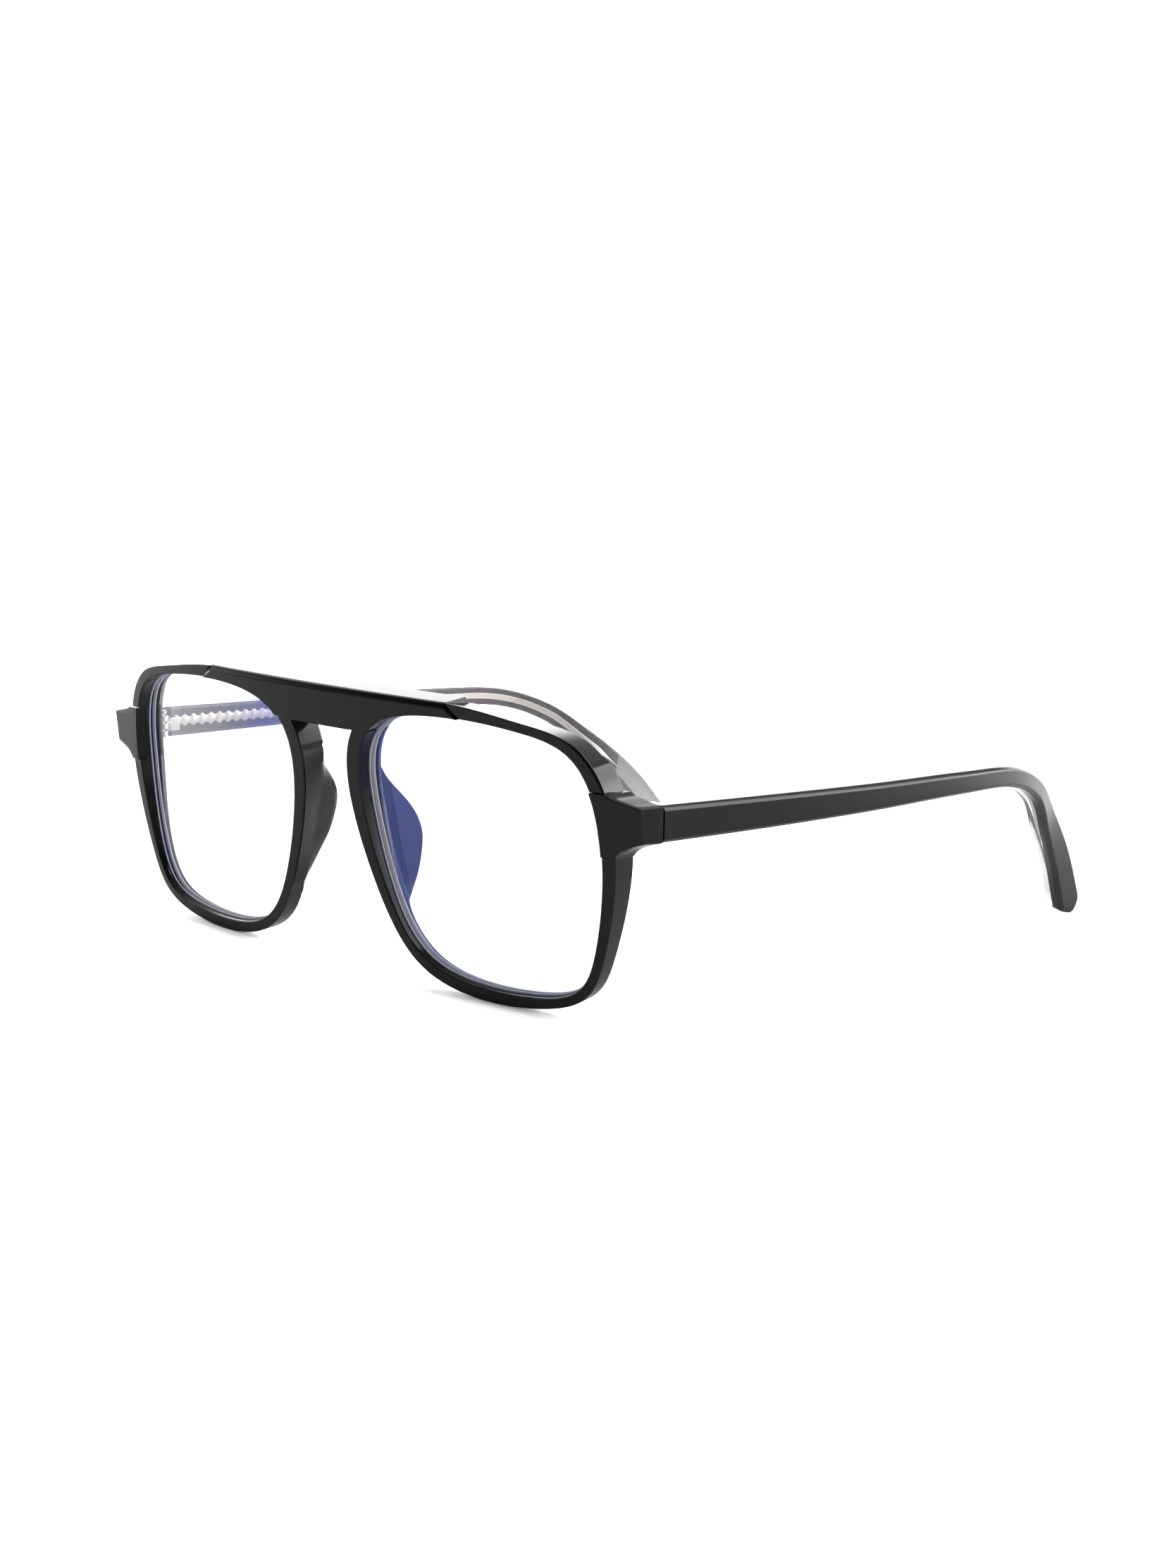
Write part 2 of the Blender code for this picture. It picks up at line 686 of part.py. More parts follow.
def main():
    clear_scene()
    black = material("black_plastic", (0.03, 0.03, 0.034), 0.25)
    clear = material("clear_plastic", (0.85, 0.87, 0.88), 0.08, alpha=0.3)
    lens_plastic = material("coated_lens", (0.82, 0.86, 0.95), 0.03, alpha=0.12)
    steel = material("hinge_steel", (0.62, 0.61, 0.58), 0.3, metallic=1.0)
    bronze = material("core_metal", (0.68, 0.63, 0.57), 0.32, metallic=1.0)

    make_brow_bar("brow_bar", black)
    for side_name, side in SIDES.items():
        make_rim(side, f"rim_{side_name}", black)
        make_end_piece(side, f"end_piece_{side_name}", black)
        make_lens(side, f"lens_{side_name}", lens_plastic)
        make_nose_pad(side, f"nose_pad_{side_name}", black)
        make_front_hinge(side, f"front_hinge_{side_name}", steel)
        make_hinge_screw(side, f"hinge_screw_{side_name}", steel)
        shell = finish(temple_layer(side, f"temple_shell_{side_name}", STATIONS, shell_profile), black)
        liner = finish(temple_layer(side, f"temple_liner_{side_name}", STATIONS, liner_profile), clear)
        wire = make_core_wire(side, f"core_wire_{side_name}", bronze)
        leaf = make_temple_hinge(side, f"temple_hinge_{side_name}", steel)
        pivot = hinge_empty(side_name, side)
        hang_on(pivot, (shell, liner, wire, leaf))
        toe_in(pivot, side_name, side)


main()
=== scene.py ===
# %% [markdown]
# # Square aviator glasses, open on a pale table
#
# The front of these glasses is moulded from black plastic in five parts: two rims, a brow bar that
# bridges them, and two end pieces that carry the hinges. Each temple is a sandwich: a black outer
# layer, a clear inner layer, and a metal core wire set in the clear plastic.
# The sizes come from the measured solid model, which is loaded first. Every piece below is a finer
# copy of one of its solids and takes its place, except the ground bevels of the lenses, which are
# added to them.

# %% Load the measured model
import json
import math

import bmesh
import bpy
from mathutils import Matrix, Vector


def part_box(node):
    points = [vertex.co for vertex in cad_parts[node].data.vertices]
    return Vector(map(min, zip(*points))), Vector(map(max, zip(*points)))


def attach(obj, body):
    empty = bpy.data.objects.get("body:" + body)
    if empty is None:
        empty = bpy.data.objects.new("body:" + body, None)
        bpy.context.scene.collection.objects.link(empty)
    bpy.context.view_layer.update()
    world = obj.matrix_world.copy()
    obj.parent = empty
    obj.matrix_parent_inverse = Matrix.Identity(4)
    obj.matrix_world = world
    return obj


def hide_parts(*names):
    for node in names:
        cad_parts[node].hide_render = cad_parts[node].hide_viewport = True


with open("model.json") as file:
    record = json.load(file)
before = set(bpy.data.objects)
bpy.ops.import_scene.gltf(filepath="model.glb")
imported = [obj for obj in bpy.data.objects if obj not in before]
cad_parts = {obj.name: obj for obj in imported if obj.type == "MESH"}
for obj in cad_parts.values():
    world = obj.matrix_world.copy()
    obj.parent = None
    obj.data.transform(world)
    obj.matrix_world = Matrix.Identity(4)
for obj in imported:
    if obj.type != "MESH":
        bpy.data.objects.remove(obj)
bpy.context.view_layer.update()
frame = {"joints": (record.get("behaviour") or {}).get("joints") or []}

# %% [markdown]
# ## The camera
# A product shot of glasses is taken from a low three-quarter view with a longish lens, so that one
# temple runs away to the side and the front keeps its proportions. The camera is aimed by three
# angles, because an angle is easier to adjust than a point to look at.

# %% Camera
CAMERA_PLACE = (0.34923, -0.34441, 0.10632)
CAMERA_TURN = 0.801635
CAMERA_DIP = 0.163991
CAMERA_ROLL = 0.016043
LENS_LENGTH = 60.63


def aim_camera(place, turn, dip, roll):
    """A camera at a place, turned round the object, tipped down and rolled, all in radians."""
    data = bpy.data.cameras.new("camera")
    data.lens = LENS_LENGTH
    data.sensor_width = 36.0
    camera = bpy.data.objects.new("camera", data)
    back = Vector((math.sin(turn) * math.cos(dip), -math.cos(turn) * math.cos(dip), math.sin(dip)))
    right = Vector((0, 0, 1)).cross(back).normalized()
    up = back.cross(right)
    rolled_right = right * math.cos(roll) + up * math.sin(roll)
    rolled_up = up * math.cos(roll) - right * math.sin(roll)
    axes = Matrix((rolled_right, rolled_up, back)).transposed()
    camera.matrix_world = Matrix.Translation(place) @ axes.to_4x4()
    bpy.context.scene.collection.objects.link(camera)
    return camera


bpy.context.scene.camera = aim_camera(CAMERA_PLACE, CAMERA_TURN, CAMERA_DIP, CAMERA_ROLL)
bpy.context.scene.view_settings.view_transform = "Standard"
print("camera at", CAMERA_PLACE)

# %% [markdown]
# ## Small nodes
# The room, the table and every finish are built from the same few nodes. Each function below adds
# one of them to a node tree and gives its output, so that a chain of nodes reads like a sum.


# %% Node helpers
def feed(tree, socket, value):
    """Gives a socket a plain value, or links another node's output to it."""
    if isinstance(value, bpy.types.NodeSocket):
        tree.links.new(value, socket)
    else:
        socket.default_value = value


def math_node(tree, operation, one, two):
    """A Math node on two values, each a number or another node's output."""
    node = tree.nodes.new("ShaderNodeMath")
    node.operation = operation
    for socket, value in zip(node.inputs, (one, two)):
        feed(tree, socket, value)
    return node.outputs["Value"]


def ranged(tree, value, start, end, low=0.0, high=1.0, kind="SMOOTHSTEP"):
    """A Map Range node: the value at start gives low, and at end it gives high."""
    node = tree.nodes.new("ShaderNodeMapRange")
    node.interpolation_type = kind
    feed(tree, node.inputs["Value"], value)
    for label, limit in (("From Min", start), ("From Max", end), ("To Min", low), ("To Max", high)):
        feed(tree, node.inputs[label], limit)
    return node.outputs["Result"]


def along(tree, place, direction):
    """How far a place lies in a direction."""
    node = tree.nodes.new("ShaderNodeVectorMath")
    node.operation = "DOT_PRODUCT"
    node.inputs[1].default_value = direction
    tree.links.new(place, node.inputs[0])
    return node.outputs["Value"]


def color_mix(tree, factor, one, two):
    """A colour between two, each three numbers or another node's output."""
    node = tree.nodes.new("ShaderNodeMix")
    node.data_type = "RGBA"
    tree.links.new(factor, node.inputs["Factor"])
    for label, color in (("A", one), ("B", two)):
        plain = not isinstance(color, bpy.types.NodeSocket)
        feed(tree, node.inputs[label], (*color, 1.0) if plain else color)
    return node.outputs["Result"]


print("node helpers ready")

# %% [markdown]
# ## The table and the light
# Black gloss shows the room, not its own colour, so the light is the most important finish here.
# The table is white, and the room behind the glasses is a bright white wall. The side where the
# camera stands is dim: a face that looks at the camera then stays black, and a face or a rounded
# edge that is turned away mirrors the bright wall and shines. Two soft panels hang above, where the
# corners of the rims mirror them. The table is made paler to the eye than to the gloss, and its
# gloss side brightens towards the wall, so the temples grow lighter towards their tips.

# %% Table, room and lamps
SEEN_WHITE = 2.0
WALL_LEVEL = 3.2
WALL_TOP = (0.3, 0.46)  # sine of the height angle over which the wall ends
DIM_CEILING = 0.16
DIM_SIDE = 0.06
TABLE_SEEN = 2.6
TABLE_HALF = 1.1
TABLE_MIRRORED = (0.72, 2.1)  # as the gloss sees it: on the camera's side, and near the wall
TABLE_BRIGHTENS = (-0.04, 0.13)  # over this distance towards the wall, in metres
TOWARDS_WALL = (-0.57, 0.82, 0.0)  # along the table
WALL_DIRECTION = (-0.45, 0.88, 0.1)  # in the room
WALL_EDGE = (-0.15, 0.5)  # how squarely a direction faces the wall where its light starts and is full


def room_light():
    """A white wall behind the glasses that fades to a dim room on the camera's side."""
    world = bpy.data.worlds.new("white_room")
    bpy.context.scene.world = world
    world.use_nodes = True
    tree = world.node_tree
    background = tree.nodes["Background"]
    direction = tree.nodes.new("ShaderNodeTexCoord").outputs["Generated"]
    facing_wall = along(tree, direction, WALL_DIRECTION)
    wall = ranged(tree, facing_wall, *WALL_EDGE, DIM_SIDE * WALL_LEVEL, WALL_LEVEL)
    height = tree.nodes.new("ShaderNodeSeparateXYZ")
    tree.links.new(direction, height.inputs["Vector"])
    top = ranged(tree, height.outputs["Z"], *WALL_TOP, 1.0, DIM_CEILING)
    seen = tree.nodes.new("ShaderNodeLightPath").outputs["Is Camera Ray"]
    level = tree.nodes.new("ShaderNodeMix")
    feed(tree, level.inputs["Factor"], seen)
    feed(tree, level.inputs["A"], math_node(tree, "MULTIPLY", wall, top))
    feed(tree, level.inputs["B"], SEEN_WHITE)
    tree.links.new(level.outputs["Result"], background.inputs["Strength"])
    background.inputs["Color"].default_value = (1.0, 1.0, 1.0, 1.0)


def lamp_panel(name, place, target, size, power):
    """A soft rectangular lamp that faces a point of the table."""
    data = bpy.data.lights.new(name, "AREA")
    data.shape = "RECTANGLE"
    data.size, data.size_y = size
    data.energy = power
    lamp = bpy.data.objects.new(name, data)
    lamp.location = place
    lamp.rotation_euler = (Vector(place) - Vector(target)).to_track_quat("Z", "Y").to_euler()
    bpy.context.scene.collection.objects.link(lamp)
    return lamp


def make_table():
    """A flat sheet that is paler to the eye than to the gloss of what stands on it."""
    mesh_data = bmesh.new()
    bmesh.ops.create_grid(mesh_data, x_segments=2, y_segments=2, size=TABLE_HALF)
    mesh = bpy.data.meshes.new("table")
    mesh_data.to_mesh(mesh)
    mesh_data.free()
    table = bpy.data.objects.new("table", mesh)
    bpy.context.scene.collection.objects.link(table)
    paint = bpy.data.materials.new("white_table")
    paint.use_nodes = True
    tree = paint.node_tree
    tree.nodes.remove(tree.nodes["Principled BSDF"])
    matt = tree.nodes.new("ShaderNodeBsdfDiffuse")
    seen = tree.nodes.new("ShaderNodeLightPath").outputs["Is Camera Ray"]
    place = tree.nodes.new("ShaderNodeTexCoord").outputs["Object"]
    mirrored = ranged(tree, along(tree, place, TOWARDS_WALL), *TABLE_BRIGHTENS, *TABLE_MIRRORED)
    tree.links.new(color_mix(tree, seen, mirrored, [TABLE_SEEN] * 3), matt.inputs["Color"])
    tree.links.new(matt.outputs["BSDF"], tree.nodes["Material Output"].inputs["Surface"])
    mesh.materials.append(paint)
    return table


room_light()
make_table()
lamp_panel("panel_behind", (0.56, 0.79, 0.62), (0.0, 0.0, 0.02), (0.75, 1.25), 12.0)
lamp_panel("panel_left", (-0.85, -0.15, 0.85), (0.0, 0.0, 0.03), (0.7, 0.6), 2.8)
print("wall level", WALL_LEVEL)

# %% [markdown]
# ## Finishes that several materials share
# Moulded plastic that has been handled is never perfectly even: it has faint polishing marks, a few
# hair scratches and soft smudges. One node group makes these as a roughness and a height, and each
# material places it with its own values. A second group finds the edges, where polish and wear show.


# %% Node groups
def new_group(name, inputs, outputs):
    """An empty node group with named sockets, given as (name, kind, value)."""
    group = bpy.data.node_groups.new(name, "ShaderNodeTree")
    for label, kind, value in inputs:
        socket = group.interface.new_socket(name=label, in_out="INPUT", socket_type=kind)
        socket.default_value = value
    for label, kind in outputs:
        group.interface.new_socket(name=label, in_out="OUTPUT", socket_type=kind)
    entry = group.nodes.new("NodeGroupInput")
    result = group.nodes.new("NodeGroupOutput")
    return group, entry, result


def handled_surface():
    """Faint marks of moulding and handling: a roughness, and a height for a Bump node."""
    group, entry, result = new_group(
        "handled_surface",
        [("Roughness", "NodeSocketFloat", 0.2), ("Marks", "NodeSocketFloat", 0.1),
         ("Grain Scale", "NodeSocketFloat", 900.0), ("Smudge Scale", "NodeSocketFloat", 60.0)],
        [("Roughness", "NodeSocketFloat"), ("Height", "NodeSocketFloat"), ("Smudge", "NodeSocketFloat")],
    )
    nodes, links = group.nodes, group.links
    coords = nodes.new("ShaderNodeTexCoord")
    stretch = nodes.new("ShaderNodeMapping")
    stretch.inputs["Rotation"].default_value = (0.3, 0.2, 0.6)
    stretch.inputs["Scale"].default_value = (1.0, 0.06, 1.0)
    hairs = nodes.new("ShaderNodeTexNoise")
    hairs.inputs["Scale"].default_value = 2600.0
    hairs.inputs["Detail"].default_value = 2.0
    fine = nodes.new("ShaderNodeTexNoise")
    fine.inputs["Detail"].default_value = 3.0
    smudge = nodes.new("ShaderNodeTexNoise")
    smudge.inputs["Detail"].default_value = 4.0
    smudge.inputs["Roughness"].default_value = 0.6
    links.new(coords.outputs["Object"], stretch.inputs["Vector"])
    links.new(stretch.outputs["Vector"], hairs.inputs["Vector"])
    links.new(coords.outputs["Object"], fine.inputs["Vector"])
    links.new(coords.outputs["Object"], smudge.inputs["Vector"])
    links.new(entry.outputs["Grain Scale"], fine.inputs["Scale"])
    links.new(entry.outputs["Smudge Scale"], smudge.inputs["Scale"])
    few = ranged(group, hairs.outputs["Fac"], 0.62, 0.74, kind="LINEAR")
    height = math_node(group, "ADD", fine.outputs["Fac"], math_node(group, "MULTIPLY", few, -0.6))
    cloudy = math_node(group, "SUBTRACT", smudge.outputs["Fac"], 0.5)
    uneven = math_node(group, "ADD", cloudy, math_node(group, "MULTIPLY", few, 0.5))
    marked = math_node(group, "MULTIPLY", uneven, entry.outputs["Marks"])
    rough = math_node(group, "ADD", entry.outputs["Roughness"], marked)
    links.new(rough, result.inputs["Roughness"])
    links.new(height, result.inputs["Height"])
    links.new(smudge.outputs["Fac"], result.inputs["Smudge"])
    return group


def edge_polish():
    """A mask that is 1 on outer edges and 0 on flats, from how far the surface points outwards."""
    group, entry, result = new_group(
        "edge_polish",
        [("Start", "NodeSocketFloat", 0.52), ("Full", "NodeSocketFloat", 0.6)],
        [("Edge", "NodeSocketFloat")],
    )
    outwards = group.nodes.new("ShaderNodeNewGeometry").outputs["Pointiness"]
    edge = ranged(group, outwards, entry.outputs["Start"], entry.outputs["Full"], kind="LINEAR")
    group.links.new(edge, result.inputs["Edge"])
    return group


HANDLED = handled_surface()
EDGE_POLISH = edge_polish()
print("node groups:", HANDLED.name, EDGE_POLISH.name)

# %% [markdown]
# ## The materials
# Every material is one Principled shader. The black plastic is polished, so its colour is nearly
# black and its gloss does the work. The lens has a coating that mirrors blue light: a thin bluish
# mirror that lets most light straight through. The core wire and the hinge are brushed metal.


# %% Material builder
def make_finish(name, color, roughness, marks, bump, fixed=None, grain=900.0, worn=None):
    """A Principled material with the handled surface on it, and optionally a second colour on edges."""
    paint = bpy.data.materials.new(name)
    paint.use_nodes = True
    tree = paint.node_tree
    shader = tree.nodes["Principled BSDF"]
    for socket, value in (fixed or {}).items():
        shader.inputs[socket].default_value = value
    surface = tree.nodes.new("ShaderNodeGroup")
    surface.node_tree = HANDLED
    surface.inputs["Roughness"].default_value = roughness
    surface.inputs["Marks"].default_value = marks
    surface.inputs["Grain Scale"].default_value = grain
    relief = tree.nodes.new("ShaderNodeBump")
    relief.inputs["Strength"].default_value = bump
    relief.inputs["Distance"].default_value = 0.00002
    tree.links.new(surface.outputs["Roughness"], shader.inputs["Roughness"])
    tree.links.new(surface.outputs["Height"], relief.inputs["Height"])
    tree.links.new(relief.outputs["Normal"], shader.inputs["Normal"])
    smudged = [min(1.0, 1.25 * part + 0.002) for part in color]
    outcome = color_mix(tree, surface.outputs["Smudge"], color, smudged)
    if worn:
        edge = tree.nodes.new("ShaderNodeGroup")
        edge.node_tree = EDGE_POLISH
        rubbed = math_node(tree, "MULTIPLY", edge.outputs["Edge"], 0.5)
        outcome = color_mix(tree, rubbed, outcome, worn)
    tree.links.new(outcome, shader.inputs["Base Color"])
    return paint


def brush_along(paint, stretch, strength):
    """Adds fine parallel brushing to a metal: long thin noise in the roughness and the bump."""
    tree = paint.node_tree
    shader = tree.nodes["Principled BSDF"]
    coords = tree.nodes.new("ShaderNodeTexCoord")
    mapping = tree.nodes.new("ShaderNodeMapping")
    mapping.inputs["Scale"].default_value = stretch
    lines = tree.nodes.new("ShaderNodeTexNoise")
    lines.inputs["Scale"].default_value = 4000.0
    tree.links.new(coords.outputs["Object"], mapping.inputs["Vector"])
    tree.links.new(mapping.outputs["Vector"], lines.inputs["Vector"])
    rough = shader.inputs["Roughness"].links[0].from_socket
    brushed = math_node(tree, "ADD", rough, math_node(tree, "MULTIPLY", lines.outputs["Fac"], strength))
    tree.links.new(brushed, shader.inputs["Roughness"])


print("material builder ready")


# %% The finishes of these glasses
black_plastic = make_finish(
    "polished_black_plastic", (0.0045, 0.0045, 0.0052), 0.14, 0.12, 0.05,
    {"IOR": 1.5, "Specular IOR Level": 0.36}, worn=(0.02, 0.02, 0.022),
)
temple_black = make_finish(
    "polished_temple_black", (0.0045, 0.0045, 0.0052), 0.16, 0.12, 0.03,
    {"IOR": 1.5, "Specular IOR Level": 0.36}, worn=(0.02, 0.02, 0.022),
)
pad_plastic = make_finish(
    "pad_black_plastic", (0.006, 0.006, 0.007), 0.26, 0.15, 0.08,
    {"IOR": 1.5, "Specular IOR Level": 0.16}, grain=1400.0,
)
clear_plastic = make_finish(
    "clear_temple_plastic", (0.84, 0.82, 0.87), 0.03, 0.04, 0.01,
    {"IOR": 1.49, "Transmission Weight": 0.88},
)
ground_edge = make_finish(
    "ground_lens_edge", (0.8, 0.83, 0.84), 0.38, 0.2, 0.35, {"IOR": 1.55}, grain=2500.0,
)
hinge_steel = make_finish(
    "hinge_steel", (0.62, 0.61, 0.58), 0.24, 0.15, 0.2, {"Metallic": 1.0}, worn=(0.85, 0.84, 0.82),
)
screw_steel = make_finish(
    "screw_steel", (0.7, 0.69, 0.67), 0.2, 0.15, 0.15, {"Metallic": 1.0}, worn=(0.9, 0.9, 0.9),
)
core_metal = make_finish(
    "core_wire_metal", (0.74, 0.69, 0.62), 0.28, 0.15, 0.2, {"Metallic": 1.0}, worn=(0.9, 0.87, 0.82),
)
brush_along(hinge_steel, (1.0, 1.0, 0.05), 0.12)
brush_along(core_metal, (1.0, 0.04, 1.0), 0.12)
print("materials:", len(bpy.data.materials))

# %% [markdown]
# ### The blue-light coating
# The coating is a stack of films far thinner than a hair. It mirrors part of the blue and violet
# light and passes the rest, so the lens looks clear over white and blue over black. It is made
# here as a bluish mirror that is mostly see-through, which tints only what it mirrors and bends
# nothing. A Layer Weight node adds a little more mirror towards grazing angles. A film looks thinner
# to light that crosses it at a slant, so the blue fades to a faint neutral mirror there.


# %% Coated lens
PALE_FROM = 0.43  # how far the lens is turned away where its blue starts to fade
PALE_FULL = 0.5  # and where it has faded
PALE_TINT = (0.72, 0.71, 0.8)
PALE_LOSS = 0.5


def make_coating(name, tint, see_through_loss, grazing):
    """A tinted mirror that blocks a share of the light, and more of it towards grazing angles."""
    paint = make_finish(name, tint, 0.012, 0.02, 0.02, {"Metallic": 1.0}, grain=300.0)
    tree = paint.node_tree
    shader = tree.nodes["Principled BSDF"]
    angle = tree.nodes.new("ShaderNodeLayerWeight")
    angle.inputs["Blend"].default_value = 0.5
    steep = math_node(tree, "POWER", angle.outputs["Facing"], 3.0)
    more = math_node(tree, "MULTIPLY", steep, grazing)
    pale = ranged(tree, angle.outputs["Facing"], PALE_FROM, PALE_FULL, kind="LINEAR")
    blue = shader.inputs["Base Color"].links[0].from_socket
    tree.links.new(color_mix(tree, pale, blue, PALE_TINT), shader.inputs["Base Color"])
    weaker = math_node(tree, "MULTIPLY", pale, -PALE_LOSS * see_through_loss)
    loss = math_node(tree, "ADD", weaker, see_through_loss)
    tree.links.new(math_node(tree, "ADD", more, loss), shader.inputs["Alpha"])
    return paint


coated_lens = make_coating("blue_coated_lens", (0.27, 0.34, 0.99), 0.27, 0.4)
print("lens coating:", coated_lens.name)

# %% [markdown]
# ## Smooth outlines
# The rim and the lens opening are closed B-splines, drawn flat, because a few control corners give
# the same even curves that a moulded rim has. The flat drawing is then bent to the face: the
# function `on_front` tilts it, curves it round the wearer's head, and measures depth behind it.

# %% Outlines and the bent front
MM = 0.001
SEAM = 0.08
FACE_FORM_RADIUS = 431.0
FRONT_TILT = math.radians(6.9)
FRONT_Y = -63.2
OPENING_POLYGON = [
    (62.3, 23.9), (62.2, 36.0), (57.9, 45.1), (46.7, 46.8), (33.6, 47.8), (17.6, 46.9), (9.5, 41.7),
    (8.4, 31.3), (12.9, 15.9), (19.9, 3.9), (34.0, 1.8), (46.4, 2.3), (56.4, 4.3), (59.7, 11.9),
]
RIM_POLYGON = [
    (65.0, 23.7), (65.0, 37.1), (59.3, 46.9), (47.5, 48.1), (33.2, 50.3), (15.9, 49.6), (6.6, 43.1),
    (5.0, 32.0), (10.9, 14.9), (18.6, 2.4), (33.6, -0.5), (47.2, 0.4), (57.6, 3.1), (61.3, 10.7),
]
SIDES = {"left": 1, "right": -1}


def spline_at(polygon, place):
    """The point of a closed cubic B-spline at a place counted in control corners."""
    size = len(polygon)
    first = math.floor(place)
    t = place - first
    weights = (
        (1 - t) ** 3 / 6, (3 * t**3 - 6 * t**2 + 4) / 6, (-3 * t**3 + 3 * t**2 + 3 * t + 1) / 6,
        t**3 / 6,
    )
    corners = [polygon[(first + k - 1) % size] for k in range(4)]
    return tuple(sum(w * c[axis] for w, c in zip(weights, corners)) for axis in range(2))


def smooth_step(low, high, value):
    """0 at low, 1 at high, and a smooth rise between them."""
    part = min(max((value - low) / (high - low), 0.0), 1.0)
    return part * part * (3 - 2 * part)


def mix_rows(one, two, part):
    return tuple(a + (b - a) * part for a, b in zip(one, two))


def along_rows(rows, key):
    """The other columns of sorted rows at a value of the first column."""
    key = min(max(key, rows[0][0]), rows[-1][0])
    for low, high in zip(rows, rows[1:]):
        if key <= high[0]:
            return mix_rows(low[1:], high[1:], (key - low[0]) / (high[0] - low[0]))
    return rows[-1][1:]


def through_rows(rows, steps):
    """Rows along a smooth Catmull-Rom curve through the given rows."""
    found = []
    for index in range(len(rows) - 1):
        before, here = rows[max(index - 1, 0)], rows[index]
        ahead, after = rows[index + 1], rows[min(index + 2, len(rows) - 1)]
        for step in range(steps):
            t = step / steps
            found.append(tuple(
                0.5 * (
                    2 * h + (a - b) * t + (2 * b - 5 * h + 4 * a - c) * t**2
                    + (3 * h - b - 3 * a + c) * t**3
                )
                for b, h, a, c in zip(before, here, ahead, after)
            ))
    found.append(tuple(rows[-1]))
    return found


FINE_STEPS = 40
CORNERS = len(RIM_POLYGON)
ROUND_TRIP = [k / FINE_STEPS for k in range(CORNERS * FINE_STEPS)]
GROUND = min(spline_at(RIM_POLYGON, place)[1] for place in ROUND_TRIP)


def opening_at(place):
    """A point of the lens opening, with its height above the table."""
    x, v = spline_at(OPENING_POLYGON, place)
    return x, v - GROUND


def outline_at(place):
    """A point of the rim's outer edge, with its height above the table."""
    x, v = spline_at(RIM_POLYGON, place)
    return x, v - GROUND


def on_front(side, x, v, depth):
    """The place of a point of the front: x outwards, v up the tilted face, depth behind it."""
    swing = math.asin(x / FACE_FORM_RADIUS)
    bow = x * x / (2 * FACE_FORM_RADIUS)
    lean, rise = math.sin(FRONT_TILT), math.cos(FRONT_TILT)
    face = Vector((x, FRONT_Y + bow - v * lean, v * rise))
    back = Vector((-math.sin(swing), math.cos(swing) * rise, math.cos(swing) * lean))
    place = face + back * depth
    return Vector((side * place.x, place.y, place.z)) * MM


def rim_depth(v):
    """The rim is thin at the bottom and deeper where the temples pull on it."""
    return 3.4 + 1.8 * smooth_step(8.0, 32.0, v)


def groove_centre(v):
    """The depth of the middle of the lens groove."""
    return 0.56 * rim_depth(v)


print("rim height, mm:", round(max(outline_at(place)[1] for place in ROUND_TRIP), 2))

# %% [markdown]
# ## Skins
# Most pieces are long and change their section as they go, like a rim or a temple. A grid is laid
# out with one row per section, and its rows are moved onto the sections; merging the doubles closes
# the ring. This keeps tidy strips of faces along the piece, so that gloss flows along it. Corners
# of a section are rounded with a small curve, because no moulded edge is perfectly sharp and the
# thin light lines along these glasses are exactly those rounded edges.


# %% Skin and rounding helpers
TOUCHING = 0.0000005  # points closer than this are one point, in metres


def rounded(corners, steps=3):
    """A section from corners (a, b, radius): each corner becomes a short curve."""
    points = []
    count = len(corners)
    for index, (a, b, radius) in enumerate(corners):
        here = Vector((a, b))
        if radius <= 0.0:
            points += [here] * (steps + 1)
            continue
        before = Vector(corners[index - 1][:2]) - here
        after = Vector(corners[(index + 1) % count][:2]) - here
        start = here + before.normalized() * min(radius, before.length / 2.1) if before.length else here
        end = here + after.normalized() * min(radius, after.length / 2.1) if after.length else here
        for step in range(steps + 1):
            t = step / steps
            points.append(start * (1 - t) ** 2 + here * 2 * t * (1 - t) + end * t**2)
    return points


def skin(sections, ring=False):
    """A closed bmesh over sections of equal length. A ring joins its last section to its first."""
    mesh_data = bmesh.new()
    rows = len(sections)
    long = rows if ring else rows - 1
    round_count = len(sections[0])
    bmesh.ops.create_grid(mesh_data, x_segments=long, y_segments=round_count, size=1.0)
    for vert in mesh_data.verts:
        row = round((vert.co.x + 1) / 2 * long) % rows
        place = round((vert.co.y + 1) / 2 * round_count) % round_count
        vert.co = sections[row][place]
    bmesh.ops.remove_doubles(mesh_data, verts=mesh_data.verts, dist=TOUCHING)
    rims = [edge for edge in mesh_data.edges if edge.is_boundary]
    if rims:
        bmesh.ops.holes_fill(mesh_data, edges=rims, sides=0)
    bmesh.ops.recalc_face_normals(mesh_data, faces=mesh_data.faces)
    return mesh_data


def slice_off(mesh_data, keep_points, through, outward, bevel):
    """Cuts a piece by a plane, closes the cut and rounds its edge. Only geometry that passes
    keep_points is cut, so a plane can end one arm of a ring and leave the other arm."""
    faces = [face for face in mesh_data.faces if all(keep_points(vert.co) for vert in face.verts)]
    parts = set(faces)
    for face in faces:
        parts.update(face.edges)
        parts.update(face.verts)
    cut = bmesh.ops.bisect_plane(
        mesh_data, geom=list(parts), dist=TOUCHING, plane_co=through, plane_no=outward, clear_outer=True,
    )
    edges = [item for item in cut["geom_cut"] if isinstance(item, bmesh.types.BMEdge)]
    closed = bmesh.ops.holes_fill(mesh_data, edges=edges, sides=0)
    if bevel:
        ends = [edge for face in closed["faces"] for edge in face.edges]
        bmesh.ops.bevel(
            mesh_data, geom=ends, offset=bevel, offset_type="OFFSET", segments=2, profile=0.5,
            affect="EDGES", material=-1, clamp_overlap=True,
        )


